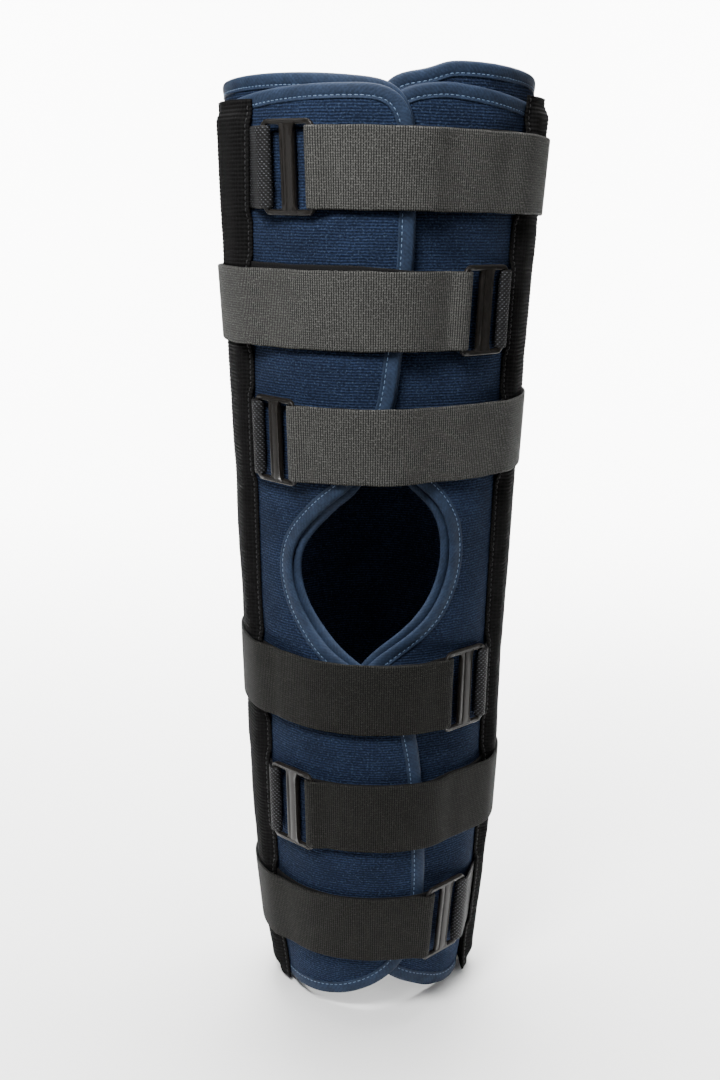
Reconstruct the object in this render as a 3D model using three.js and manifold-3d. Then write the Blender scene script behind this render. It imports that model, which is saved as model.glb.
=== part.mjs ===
// Knee immobilizer, 24-inch size, closed as it is worn. Millimetres, +Z up the leg, front towards -Y.
// The origin is on the leg's axis at the middle of the knee opening.
//
// Every soft piece is drawn flat and then laid round the leg. A place on the leg has a turn (degrees
// round from the front centre, towards +X first), a height, and a rise (distance out from the hollow).
import * as THREE from "three";
import { mergeVertices } from "three/addons/utils/BufferGeometryUtils.js";
import Module from "manifold-3d";

const wasm = await Module();
wasm.setup();

// Main sizes
const LENGTH = 612; // stay pockets, end to end
const THIGH_WIDTH = 194.5; // hollow at the top hem, side to side
const TOP_LEAN = 6; // how far the top leans back, and the bottom forward
const SIDE_LEAN = 2.5; // how far the top leans to the left, and the bottom to the right
const PLY = 3.3; // padded cloth of the wrap and of the side panels
const BINDING_WIDTH = 9; // bias tape over every cut edge
const GAP = 0.5; // clearance between pieces that lie on each other
const STRAP_WIDTH = 48.5;
const WEBBING = 1.6; // thickness of the straps and tabs
const POCKET_WIDTH = 48;
const POCKET_THICKNESS = 4.6;
const PANEL_BEHIND_POCKET = 15;
const END_FLARE = 8.5; // how far the right pocket would stand off at the last row of facets
const FLARE_FROM = 0.447; // share of LENGTH below the knee from which it does
const TAIL_PAST_POCKET = 34; // strap's free end, measured from the back edge of the pocket it crosses
const ROOT_UNDER_POCKET = 36; // how far a strap or tab is sewn in under its pocket
const BENDS = 5; // flats in the webbing's turn round a bar
const STRAP_RETURN = 7; // stretch past its bar in which the strap comes down onto its under layer
const SHIFT_FROM = 15; // degrees from the bar at which an under layer starts to shift
const SHIFT_TO = 40; // and at which it has shifted fully

// Double-slot buckle
const BUCKLE_THICKNESS = 2.6;
const OUTER_BAR = 4.6;
const SLOT = 10;
const CENTRE_BAR = 11;
const RAIL = 3.4;
const SLOT_CLEARANCE = 0.4; // at each edge of the webbing
const SLOT_CHAMFER = 0.8;
const BUCKLE_CORNER = 6.5;
const RIDGE_WIDTH = 6;
const RIDGE_HEIGHT = 0.7;
const RIDGE_EDGE = 0.5; // from the centre bar's edge

// Lengths that the flaps and ramps follow
const LEFT_REACH = 34.5; // left flap's furthest reach past the front centre
const RIGHT_REACH = 24; // right flap's, the other way, under the left flap
const OPENING_WIDTH = 95;
const OPENING_HEIGHT = 135;
const FIRST_STRAP = 0.4425; // edge of the straps next to the knee, as a share of OPENING_HEIGHT
const LAST_STRAP = 0.412; // middle of the straps furthest from it, as a share of LENGTH
const RAMP = 42; // stretch over which the overlap builds up
const OVERLAP_SUNK = 0.55; // share of the overlap's extra thickness that presses inwards
const PAST_FLAP = 2; // a flap stays level this far past the edge of the one that it crosses
const KNEE_APART = 0.24; // share of OPENING_HEIGHT from the knee up to which the flaps stay apart
const KNEE_CROSSED = 0.45; // and from which they cross fully
const CORNER_ROOM = 3; // least length of a panel's hem at its back corners, inside the binding

const COLUMN = 10; // degrees between the facets that all soft pieces share
const ROW = 84; // height of a facet away from the knee
const KNEE_ROW = 28; // height of a facet where the flaps cross
const KNEE_SHARE = 0.62; // half height of those rows, as a share of OPENING_HEIGHT
const HEM_SHARE = 0.55; // half height of all rows, as a share of LENGTH
const SLOPE = 0.34; // steepest that a taut strap leaves a step
const OUTLINE_STEP = 17; // a curved edge is drawn in pieces about this long across the front

// Hollow's sections, bottom to top: height as a share of LENGTH, width of THIGH_WIDTH, depth of the width
const SECTIONS = [
  { height: -0.54, width: 0.571, depth: 1.02 },
  { height: -0.49, width: 0.61, depth: 1.025 },
  { height: -0.44, width: 0.664, depth: 1.03 },
  { height: -0.29, width: 0.745, depth: 1.035 },
  { height: -0.1, width: 0.79, depth: 1.04 },
  { height: 0.1, width: 0.85, depth: 1.05 },
  { height: 0.29, width: 0.918, depth: 1.06 },
  { height: 0.51, width: 1.02, depth: 1.065 },
];

// Front edge of each flap of the wrap, top to bottom. Height is a share of LENGTH, or in the opening's
// rows of OPENING_HEIGHT. Reach is a share of the flap's reach, or there of OPENING_WIDTH, measured
// across the front from the centre. Setback is how far the panel's edge lies behind the wrap's, as a
// share of BINDING_WIDTH.
const LEFT_EDGE = [
  { height: 0.498, reach: -0.45, setback: 0.5 },
  { height: 0.491, reach: 0.2, setback: 0.28 },
  { height: 0.468, reach: 0.52, setback: 0.17 },
  { height: 0.43, reach: 0.61, setback: 0.17 },
  { height: 0.32, reach: 0.6, setback: 0.17 },
  { height: 0.235, reach: 0.43, setback: 0.17 },
  { height: 0.165, reach: 0.26, setback: 0.22 },
  { opening: 0.43, across: -0.09, setback: 0.45 },
  { opening: 0.3, across: -0.27, setback: 0.5 },
  { opening: 0.12, across: -0.49, setback: 0.5 },
  { opening: -0.03, across: -0.54, setback: 0.5 },
  { opening: -0.2, across: -0.45, setback: 0.5 },
  { opening: -0.36, across: -0.25, setback: 0.5 },
  { opening: -0.46, across: -0.08, setback: 0.33 },
  { height: -0.135, reach: 0.5, setback: 0.17 },
  { height: -0.185, reach: 0.79, setback: 0.17 },
  { height: -0.25, reach: 0.93, setback: 0.17 },
  { height: -0.36, reach: 1.0, setback: 0.17 },
  { height: -0.425, reach: 0.86, setback: 0.17 },
  { height: -0.475, reach: 0.42, setback: 0.17 },
  { height: -0.503, reach: -0.25, setback: 0.17 },
];
const RIGHT_EDGE = [
  { height: 0.507, reach: -1.3, setback: 0.94 },
  { height: 0.497, reach: -0.25, setback: 0.94 },
  { height: 0.465, reach: 0.12, setback: 0.55 },
  { height: 0.38, reach: 0.25, setback: 0.22 },
  { height: 0.25, reach: 0.25, setback: 0.17 },
  { height: 0.165, reach: 0.12, setback: 0.17 },
  { opening: 0.58, across: 0.08, setback: 0.28 },
  { opening: 0.43, across: 0.21, setback: 0.45 },
  { opening: 0.33, across: 0.36, setback: 0.5 },
  { opening: 0.19, across: 0.45, setback: 0.5 },
  { opening: 0.03, across: 0.46, setback: 0.5 },
  { opening: -0.13, across: 0.38, setback: 0.5 },
  { opening: -0.26, across: 0.23, setback: 0.5 },
  { opening: -0.46, across: -0.08, setback: 0.33 },
  { height: -0.135, reach: 0.65, setback: 0.17 },
  { height: -0.2, reach: 0.95, setback: 0.17 },
  { height: -0.33, reach: 1.0, setback: 0.17 },
  { height: -0.43, reach: 0.6, setback: 0.17 },
  { height: -0.485, reach: -0.4, setback: 0.22 },
  { height: -0.513, reach: -1.6, setback: 0.28 },
];

// Hems from the flap's corner to the back: height as a share of LENGTH against share of the quarter turn
const HEMS = {
  left: {
    top: [
      { height: 0.502, quarter: 0.4, setback: 1 },
      { height: 0.501, quarter: 0.75, setback: 1.67 },
      { height: 0.498, quarter: 1.1, setback: 1.67 },
    ],
    bottom: [
      { height: -0.514, quarter: 0.35, setback: 0.17 },
      { height: -0.522, quarter: 0.75, setback: 0.17 },
      { height: -0.522, quarter: 1.1, setback: 0.17 },
    ],
  },
  right: {
    top: [
      { height: 0.515, quarter: 0.3, setback: 1.45 },
      { height: 0.512, quarter: 0.7, setback: 2.1 },
      { height: 0.505, quarter: 1.1, setback: 2.1 },
    ],
    bottom: [
      { height: -0.522, quarter: 0.55, setback: 0.28 },
      { height: -0.526, quarter: 0.8, setback: 0.28 },
      { height: -0.524, quarter: 1.1, setback: 0.28 },
    ],
  },
};

// Front edge of each stay pocket, top to bottom: height as a share of LENGTH, and distance round from
// the front centre as a share of THIGH_WIDTH
const POCKETS = {
  left: [
    { height: 0.478, front: 0.415 },
    { height: 0.2, front: 0.45 },
    { height: -0.06, front: 0.445 },
    { height: -0.17, front: 0.395 },
    { height: -0.35, front: 0.37 },
    { height: -0.522, front: 0.325 },
  ],
  right: [
    { height: 0.488, front: 0.54 },
    { height: 0.38, front: 0.485 },
    { height: 0.1, front: 0.455 },
    { height: -0.2, front: 0.44 },
    { height: -0.522, front: 0.405 },
  ],
};

// Straps, top to bottom, above (1) or below (-1) the knee. Place is 0 next to the opening and 1 at the
// last strap. Buckle is its distance from the front centre as a share of THIGH_WIDTH. Rise is how far
// the free end climbs as a share of STRAP_WIDTH, and shift how far the under layer lies above the upper.
const STRAPS = [
  { above: 1, place: 1, buckle: -0.26, rise: -0.06, shift: 0 },
  { above: 1, place: 0.5, buckle: 0.342, rise: -0.02, shift: 0.06 },
  { above: 1, place: 0, buckle: -0.32, rise: 0.08, shift: 0 },
  { above: -1, place: 0, buckle: 0.313, rise: 0.12, shift: 0 },
  { above: -1, place: 0.5, buckle: -0.26, rise: 0.02, shift: 0 },
  { above: -1, place: 1, buckle: 0.241, rise: -0.06, shift: 0 },
];

const PADDED_CLOTH = { color: "#2a3a52", roughness: 0.95 };
const BINDING_TAPE = { color: "#3a5272", roughness: 0.8 };
const POCKET_CLOTH = { color: "#1b1b1c", roughness: 0.95 };
const STRAP_WEBBING = { color: "#3a3a39", roughness: 0.85 };
const TAB_WEBBING = { color: "#232325", roughness: 0.85 };
const MOULDED_PLASTIC = { color: "#34342f", roughness: 0.35 };

const brace = new THREE.Group();
brace.name = "knee_immobilizer";

// Smooth step from 0 to 1 as value goes from start to end
function step(value, start, end) {
  const share = THREE.MathUtils.clamp((value - start) / (end - start), 0, 1);
  return share * share * (3 - 2 * share);
}

// Smooth value of one column of the section table at a height
function sectionValue(column, height) {
  const share = THREE.MathUtils.clamp(height / LENGTH, SECTIONS[0].height, SECTIONS.at(-1).height);
  let i = 0;
  while (i < SECTIONS.length - 2 && SECTIONS[i + 1].height < share) i++;
  const low = SECTIONS[i];
  const high = SECTIONS[i + 1];
  const slopeAt = (j) => {
    const before = SECTIONS[Math.max(j - 1, 0)];
    const after = SECTIONS[Math.min(j + 1, SECTIONS.length - 1)];
    return (after[column] - before[column]) / (after.height - before.height);
  };
  const span = high.height - low.height;
  const t = (share - low.height) / span;
  const rise = t * t * (3 - 2 * t);
  return (
    low[column] * (1 - rise) +
    high[column] * rise +
    span * t * (1 - t) * ((1 - t) * slopeAt(i) - t * slopeAt(i + 1))
  );
}

// The hollow's section at a height: half width, half depth, and mean radius for lengths round it
function sectionAt(height) {
  const a = (THIGH_WIDTH / 2) * sectionValue("width", height);
  const b = a * sectionValue("depth", height);
  return { a, b, mean: Math.sqrt((a * a + b * b) / 2) };
}

// Exact place on the leg. Equal turns are equal lengths round the section.
function legPoint(turn, height, rise) {
  const { a, b, mean } = sectionAt(height);
  const u = THREE.MathUtils.degToRad(turn);
  const t = u - ((a * a - b * b) / (8 * mean * mean)) * Math.sin(2 * u);
  const normal = new THREE.Vector3(b * Math.sin(t), -a * Math.cos(t), 0).normalize();
  const top = (2 * height) / LENGTH;
  const place = new THREE.Vector3(a * Math.sin(t) - SIDE_LEAN * top, TOP_LEAN * top - b * Math.cos(t), height);
  return place.addScaledVector(normal, rise);
}

// Rows shared by all soft pieces, close together where the flaps cross above and below the knee
const ROWS = [];
{
  const knee = KNEE_SHARE * OPENING_HEIGHT;
  const hem = HEM_SHARE * LENGTH;
  const ends = [-hem, -knee, knee, hem];
  const steps = [ROW, KNEE_ROW, ROW];
  ends.slice(0, -1).forEach((from, i) => {
    const count = Math.ceil((ends[i + 1] - from) / steps[i]);
    for (let k = 0; k < count; k++) ROWS.push(from + ((ends[i + 1] - from) * k) / count);
  });
  ROWS.push(ends.at(-1));
}

// Place on the shared facets: straight between the columns and rows round it
function facetPoint(turn, height, riseAt) {
  const left = Math.floor(turn / COLUMN + 1e-9) * COLUMN;
  let i = 0;
  while (i < ROWS.length - 2 && ROWS[i + 1] <= height) i++;
  const across = (turn - left) / COLUMN;
  const up = (height - ROWS[i]) / (ROWS[i + 1] - ROWS[i]);
  const corner = (dx, dz) => {
    const t = left + dx * COLUMN;
    const h = ROWS[i + dz];
    return legPoint(t, h, riseAt(t, h));
  };
  const low = corner(0, 0).lerp(corner(1, 0), across);
  const high = corner(0, 1).lerp(corner(1, 1), across);
  return low.lerp(high, up);
}

const turnOf = (length, height) => THREE.MathUtils.radToDeg(length / sectionAt(height).mean);
const lengthOf = (turn, height) => THREE.MathUtils.degToRad(turn) * sectionAt(height).mean;

// How far the cloth moves out (left flap) or in (right flap) where the two flaps overlap
const OVERLAP = 2 * (PLY + GAP);
const nearKnee = (height) => step(Math.abs(height) / OPENING_HEIGHT, KNEE_APART, KNEE_CROSSED);

function leftLift(turn, height) {
  const length = lengthOf(turn, height);
  const start = -RIGHT_REACH - PAST_FLAP - RAMP;
  return OVERLAP * (1 - OVERLAP_SUNK) * step(length, start, start + RAMP) * nearKnee(height);
}

function rightSink(turn, height) {
  const length = lengthOf(turn, height);
  const start = LEFT_REACH + PAST_FLAP;
  return -OVERLAP * OVERLAP_SUNK * (1 - step(length, start, start + RAMP)) * nearKnee(height);
}

// The wrap starts as the right flap at turn 0 and ends as the left flap past turn 360
const wrapFloor = (turn, height) => (turn > 180 ? leftLift(turn - 360, height) : rightSink(turn, height));
const leftFloor = (turn, height) => leftLift(turn, height) + PLY + GAP;
const rightFloor = (turn, height) => rightSink(turn, height) + PLY + GAP;

// Flat outlines

function edgeRow(row, reach, towards) {
  const height = row.opening === undefined ? row.height * LENGTH : row.opening * OPENING_HEIGHT;
  const length = row.opening === undefined ? towards * row.reach * reach : row.across * OPENING_WIDTH;
  return { height, length, setback: row.setback * BINDING_WIDTH };
}

function hemRow(row, side) {
  const height = row.height * LENGTH;
  const length = (side * row.quarter * Math.PI * sectionAt(height).mean) / 2;
  return { height, length, setback: row.setback * BINDING_WIDTH };
}

// Smooth flat line through rows of the tables, as turns and heights, `share` of the setback behind them
function flapLine(rows, side, share) {
  const points = rows.map((row, i) => {
    const before = rows[Math.max(i - 1, 0)];
    const after = rows[Math.min(i + 1, rows.length - 1)];
    const along = new THREE.Vector2(after.length - before.length, after.height - before.height);
    along.normalize();
    const inwards = new THREE.Vector2(along.y, -along.x).multiplyScalar(side);
    const place = new THREE.Vector2(row.length, row.height);
    return place.addScaledVector(inwards, -share * row.setback);
  });
  const curve = new THREE.SplineCurve(points);
  const spread = [];
  for (let i = 0; i < points.length - 1; i++) {
    const pieces = Math.max(1, Math.round(Math.abs(points[i + 1].x - points[i].x) / OUTLINE_STEP));
    for (let k = 0; k < pieces; k++) spread.push(curve.getPoint((i + k / pieces) / (points.length - 1)));
  }
  spread.push(points.at(-1));
  return spread.map((p) => ({ turn: turnOf(p.x, p.y), height: p.y }));
}

// One flap's edge from the back end of the top hem, round the front, to the back end of the bottom hem
function flapEdge(edge, hems, reach, side, share) {
  const rows = [
    ...hems.top.map((row) => hemRow(row, side)).reverse(),
    ...edge.map((row) => edgeRow(row, reach, -side)),
    ...hems.bottom.map((row) => hemRow(row, side)),
  ];
  return flapLine(rows, side, share);
}

const leftEdge = (share) => flapEdge(LEFT_EDGE, HEMS.left, LEFT_REACH, -1, share);
const rightEdge = (share) => flapEdge(RIGHT_EDGE, HEMS.right, RIGHT_REACH, 1, share);

// Line of a pocket's front edge, moved back by a distance
function pocketLine(name, back) {
  const side = name === "left" ? -1 : 1;
  return POCKETS[name].map((row) => {
    const height = row.height * LENGTH;
    return { turn: side * turnOf(row.front * THIGH_WIDTH + back, height), height };
  });
}

function pocketTurn(name, back, height) {
  const line = pocketLine(name, back);
  let i = 0;
  while (i < line.length - 2 && line[i + 1].height > height) i++;
  const share = (height - line[i].height) / (line[i + 1].height - line[i].height);
  return THREE.MathUtils.lerp(line[i].turn, line[i + 1].turn, THREE.MathUtils.clamp(share, 0, 1));
}

// Outline of a side panel: the flap's edge, cut off along a line behind its pocket
function panelOutline(name) {
  const edge = name === "left" ? leftEdge(1) : rightEdge(1);
  const back = POCKET_WIDTH + PANEL_BEHIND_POCKET;
  const cornerTo = back - BINDING_WIDTH - 2 * GAP - CORNER_ROOM;
  const inFront = ({ turn, height }) => Math.abs(turn) < Math.abs(pocketTurn(name, cornerTo, height));
  const front = edge.filter((p) => Math.sign(p.turn) !== (name === "left" ? -1 : 1) || inFront(p));
  const line = pocketLine(name, back);
  const top = { turn: line[0].turn, height: front[0].height };
  const bottom = { turn: line.at(-1).turn, height: front.at(-1).height };
  return [...front, bottom, ...line.slice(1, -1).reverse(), top];
}

function wrapOutline() {
  const right = rightEdge(0);
  const left = leftEdge(0).map(({ turn, height }) => ({ turn: turn + 360, height }));
  return [...right, ...left.reverse()];
}

function pocketOutline(name) {
  return [...pocketLine(name, 0), ...pocketLine(name, POCKET_WIDTH).reverse()];
}

function flatArea(outline) {
  return outline.reduce((sum, p, i) => {
    const q = outline[(i + 1) % outline.length];
    return sum + (p.turn * q.height - q.turn * p.height) / 2;
  }, 0);
}

// Moves an outline inwards by a width, measured on the leg
function inset(outline, width) {
  const inwards = Math.sign(flatArea(outline));
  return outline.map((p, i) => {
    const before = outline[(i + outline.length - 1) % outline.length];
    const after = outline[(i + 1) % outline.length];
    const scale = lengthOf(1, p.height);
    const normals = [
      [before, p],
      [p, after],
    ].map(([from, to]) =>
      new THREE.Vector2(-(to.height - from.height), (to.turn - from.turn) * scale).normalize(),
    );
    const middle = normals[0].clone().add(normals[1]).normalize();
    const reach = (inwards * width) / Math.max(middle.dot(normals[0]), 0.5);
    return { turn: p.turn + (middle.x * reach) / scale, height: p.height + middle.y * reach };
  });
}

// Solids

function meshOf(name, geometry, look) {
  const mesh = new THREE.Mesh(geometry, new THREE.MeshStandardMaterial(look));
  mesh.name = name;
  brace.add(mesh);
  return mesh;
}

function geometryOf(vertices, triangles) {
  const geometry = new THREE.BufferGeometry();
  const places = vertices.flatMap((v) => v.toArray());
  geometry.setAttribute("position", new THREE.Float32BufferAttribute(places, 3));
  geometry.setIndex(triangles);
  return geometry;
}

// The part of a flat polygon on one side of a line of constant turn or height
function clip(polygon, key, limit, sign) {
  const kept = [];
  polygon.forEach((p, i) => {
    const q = polygon[(i + 1) % polygon.length];
    const dp = sign * (p[key] - limit);
    const dq = sign * (q[key] - limit);
    if (dp >= 0) kept.push(p);
    if (dp * dq < 0) {
      const share = dp / (dp - dq);
      const cut = {
        turn: THREE.MathUtils.lerp(p.turn, q.turn, share),
        height: THREE.MathUtils.lerp(p.height, q.height, share),
      };
      cut[key] = limit;
      kept.push(cut);
    }
  });
  return kept;
}

// Drops repeated corners and the folded-back stretches that a clip leaves along a facet's edge
function withoutSpikes(corners) {
  const isSpare = (q, i, all) => {
    const p = all[(i + all.length - 1) % all.length];
    const r = all[(i + 1) % all.length];
    const into = { turn: q.turn - p.turn, height: q.height - p.height };
    const out = { turn: r.turn - q.turn, height: r.height - q.height };
    const repeated = Math.hypot(out.turn, out.height) < 1e-3;
    const bend = into.turn * out.height - into.height * out.turn;
    const forward = into.turn * out.turn + into.height * out.height;
    return repeated || (Math.abs(bend) < 1e-6 && forward < 0);
  };
  const kept = [...corners];
  for (let i = kept.findIndex(isSpare); i >= 0 && kept.length > 2; i = kept.findIndex(isSpare)) {
    kept.splice(i, 1);
  }
  return kept;
}

// Corner from which a flat polygon can be cut into a fan of true triangles, or -1
function fanCorner(corners) {
  const n = corners.length;
  const areaAt = (start, k) => flatArea([start, start + k, start + k + 1].map((i) => corners[i % n]));
  return corners.findIndex((_, start) => {
    for (let k = 1; k < n - 1; k++) if (areaAt(start, k) < 1e-4) return false;
    return true;
  });
}

// A sheet of one thickness laid over a floor: its flat polygons are cut up by the shared facets
function sheetGeometry(polygons, floor, thickness) {
  const flat = [];
  const index = new Map();
  const triangles = [];
  const idOf = (p) => {
    const key = `${p.turn.toFixed(3)},${p.height.toFixed(3)}`;
    if (!index.has(key)) {
      index.set(key, flat.length);
      flat.push(p);
    }
    return index.get(key);
  };
  const fill = (cell) => {
    const corners = withoutSpikes(cell);
    if (corners.length < 3 || Math.abs(flatArea(corners)) < 1e-3) return;
    if (flatArea(corners) < 0) corners.reverse();
    const ids = corners.map(idOf);
    const start = fanCorner(corners);
    if (start >= 0) {
      const fan = [...ids.slice(start), ...ids.slice(0, start)];
      for (let k = 1; k < fan.length - 1; k++) triangles.push([fan[0], fan[k], fan[k + 1]]);
      return;
    }
    const mean = (key) => corners.reduce((sum, p) => sum + p[key], 0) / corners.length;
    const middle = idOf({ turn: mean("turn"), height: mean("height") });
    ids.forEach((id, k) => triangles.push([id, ids[(k + 1) % ids.length], middle]));
  };
  for (const polygon of polygons) {
    const turns = polygon.map((p) => p.turn);
    const heights = polygon.map((p) => p.height);
    const first = Math.floor(Math.min(...turns) / COLUMN) * COLUMN;
    for (let left = first; left < Math.max(...turns); left += COLUMN) {
      const column = clip(clip(polygon, "turn", left, 1), "turn", left + COLUMN, -1);
      for (let i = 0; i < ROWS.length - 1; i++) {
        if (ROWS[i] > Math.max(...heights) || ROWS[i + 1] < Math.min(...heights)) continue;
        fill(clip(clip(column, "height", ROWS[i], 1), "height", ROWS[i + 1], -1));
      }
    }
  }
  return thicken(flat, triangles, floor, thickness);
}

// Closes a flat net of triangles into a solid between the floor and the floor plus a thickness
function thicken(flat, triangles, floor, thickness) {
  const count = flat.length;
  const under = flat.map((p) => facetPoint(p.turn, p.height, floor));
  const over = flat.map((p) => facetPoint(p.turn, p.height, (t, h) => floor(t, h) + thickness));
  const faces = [];
  const open = new Map();
  for (const [a, b, c] of triangles) {
    faces.push(a + count, b + count, c + count, a, c, b);
    for (const [from, to] of [
      [a, b],
      [b, c],
      [c, a],
    ]) {
      if (!open.delete(`${to},${from}`)) open.set(`${from},${to}`, [from, to]);
    }
  }
  for (const [from, to] of open.values()) faces.push(from, to, to + count, from, to + count, from + count);
  return geometryOf([...under, ...over], faces);
}

// The flat quadrilaterals between an outline and its inset
function ringPolygons(outline, width) {
  const inner = inset(outline, width);
  return outline.map((p, i) => {
    const j = (i + 1) % outline.length;
    return [p, outline[j], inner[j], inner[i]];
  });
}

// A bound sheet: the padded cloth inside, the folded tape round its edge
function boundSheet(name, outline, floor) {
  const cloth = [inset(outline, BINDING_WIDTH + GAP)];
  const tape = ringPolygons(outline, BINDING_WIDTH);
  meshOf(name, sheetGeometry(cloth, floor, PLY), PADDED_CLOTH);
  meshOf(`${name}_binding`, sheetGeometry(tape, floor, PLY), BINDING_TAPE);
}

const OUTLINES = { wrap: wrapOutline(), left: panelOutline("left"), right: panelOutline("right") };
boundSheet("wrap", OUTLINES.wrap, wrapFloor);
boundSheet("left_panel", OUTLINES.left, leftFloor);
boundSheet("right_panel", OUTLINES.right, rightFloor);

// Top of the cloth at a place, before any webbing
function inside(outline, turn, height) {
  let odd = false;
  outline.forEach((p, i) => {
    const q = outline[(i + 1) % outline.length];
    if (p.height > height === q.height > height) return;
    const crossing = p.turn + ((height - p.height) / (q.height - p.height)) * (q.turn - p.turn);
    if (turn < crossing) odd = !odd;
  });
  return odd;
}

function clothTop(turn, height) {
  if (inside(OUTLINES.left, turn, height)) return leftFloor(turn, height) + PLY;
  if (inside(OUTLINES.wrap, turn + 360, height)) return leftLift(turn, height) + PLY;
  if (inside(OUTLINES.right, turn, height)) return rightFloor(turn, height) + PLY;
  return rightSink(turn, height) + PLY;
}

const SPAN = 16 * COLUMN; // degrees either side that straps are followed over
const COLUMNS = [];
for (let turn = -SPAN; turn <= SPAN; turn += COLUMN) COLUMNS.push(turn);

// Lowest path of a taut strap over heights given by column: it leaves each step at a limited slope
function drape(heightAt, height) {
  const nearby = [-1, -0.5, 0, 0.5, 1].map((share) => share * COLUMN);
  const raw = COLUMNS.map((turn) => Math.max(...nearby.map((shift) => heightAt(turn + shift))));
  const run = lengthOf(COLUMN, height);
  return raw.map((_, j) => Math.max(...raw.map((value, i) => value - SLOPE * run * Math.abs(i - j))));
}

// Value between the columns of a list made by drape
function levelAt(list, turn) {
  const place = THREE.MathUtils.clamp((turn + SPAN) / COLUMN, 0, COLUMNS.length - 1.001);
  const i = Math.floor(place);
  return THREE.MathUtils.lerp(list[i], list[i + 1], place - i);
}

const STRAP_LEVELS = [-0.5, -0.25, 0, 0.25, 0.5].map((share) => share * STRAP_WIDTH);
const POCKET_FLOOR = 2 * PLY + 3 * GAP + WEBBING + GAP;
const flareShare = (height) => (-height / LENGTH - FLARE_FROM) / (HEM_SHARE - FLARE_FROM);
const flare = (height) => END_FLARE * THREE.MathUtils.clamp(flareShare(height), 0, 1);
const pocketFloor = {
  left: (turn, height) => leftLift(turn, height) + POCKET_FLOOR,
  right: (turn, height) => rightSink(turn, height) + POCKET_FLOOR + flare(height),
};
for (const name of ["left", "right"]) {
  const pocket = sheetGeometry([pocketOutline(name)], pocketFloor[name], POCKET_THICKNESS);
  meshOf(`${name}_stay_pocket`, pocket, POCKET_CLOTH);
}

// Webbing

// A band along two edge lines, `WEBBING` thick about them
function bandGeometry(line) {
  const n = line.length;
  const vertices = [];
  line.forEach(({ high, low }, i) => {
    const before = line[Math.max(i - 1, 0)];
    const after = line[Math.min(i + 1, n - 1)];
    const across = high.clone().sub(low).normalize();
    const middle = (s) => s.high.clone().add(s.low).multiplyScalar(0.5);
    const into = middle(line[i]).sub(middle(before));
    const out = middle(after).sub(middle(line[i]));
    if (i === 0) into.copy(out);
    if (i === n - 1) out.copy(into);
    const along = into.normalize().clone().add(out.normalize()).normalize();
    const normal = along.clone().cross(across).normalize();
    const reach = WEBBING / 2 / Math.max(along.dot(into), 0.6);
    vertices.push(
      high.clone().addScaledVector(normal, reach),
      low.clone().addScaledVector(normal, reach),
      low.clone().addScaledVector(normal, -reach),
      high.clone().addScaledVector(normal, -reach),
    );
  });
  const faces = [0, 1, 2, 0, 2, 3];
  for (let i = 0; i < n - 1; i++) {
    for (let k = 0; k < 4; k++) {
      const a = 4 * i + k;
      const b = 4 * i + ((k + 1) % 4);
      faces.push(a, a + 4, b + 4, a, b + 4, b);
    }
  }
  const end = 4 * (n - 1);
  faces.push(end, end + 2, end + 1, end, end + 3, end + 2);
  return geometryOf(vertices, faces);
}

// Turns a band right side out: its volume tells which way its faces look
function outwards(geometry) {
  const p = geometry.getAttribute("position");
  const corner = (i) => new THREE.Vector3().fromBufferAttribute(p, geometry.index.array[i]);
  let volume = 0;
  for (let i = 0; i < geometry.index.count; i += 3) {
    volume += corner(i).dot(corner(i + 1).cross(corner(i + 2)));
  }
  if (volume < 0) geometry.setIndex([...geometry.index.array].reverse());
  return geometry;
}

const BUCKLE_WIDTH = 2 * (OUTER_BAR + SLOT) + CENTRE_BAR;
const BUCKLE_HEIGHT = STRAP_WIDTH + 2 * (SLOT_CLEARANCE + RAIL);
const BAR_EDGE = BUCKLE_WIDTH / 2 - OUTER_BAR; // inner edge of an outer bar, from the buckle's middle

function slotPath(x) {
  const half = STRAP_WIDTH / 2 + SLOT_CLEARANCE;
  const path = new THREE.Path();
  path.moveTo(x - SLOT / 2 + SLOT_CHAMFER, -half);
  path.lineTo(x + SLOT / 2 - SLOT_CHAMFER, -half);
  path.lineTo(x + SLOT / 2, -half + SLOT_CHAMFER);
  path.lineTo(x + SLOT / 2, half - SLOT_CHAMFER);
  path.lineTo(x + SLOT / 2 - SLOT_CHAMFER, half);
  path.lineTo(x - SLOT / 2 + SLOT_CHAMFER, half);
  path.lineTo(x - SLOT / 2, half - SLOT_CHAMFER);
  path.lineTo(x - SLOT / 2, -half + SLOT_CHAMFER);
  return path;
}

function solidOf(geometry) {
  const bare = geometry.clone();
  for (const key of ["normal", "uv"]) bare.deleteAttribute(key);
  const merged = mergeVertices(bare, 1e-4);
  return new wasm.Manifold(
    new wasm.Mesh({
      numProp: 3,
      vertProperties: merged.getAttribute("position").array,
      triVerts: new Uint32Array(merged.index.array),
    }),
  );
}

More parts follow.
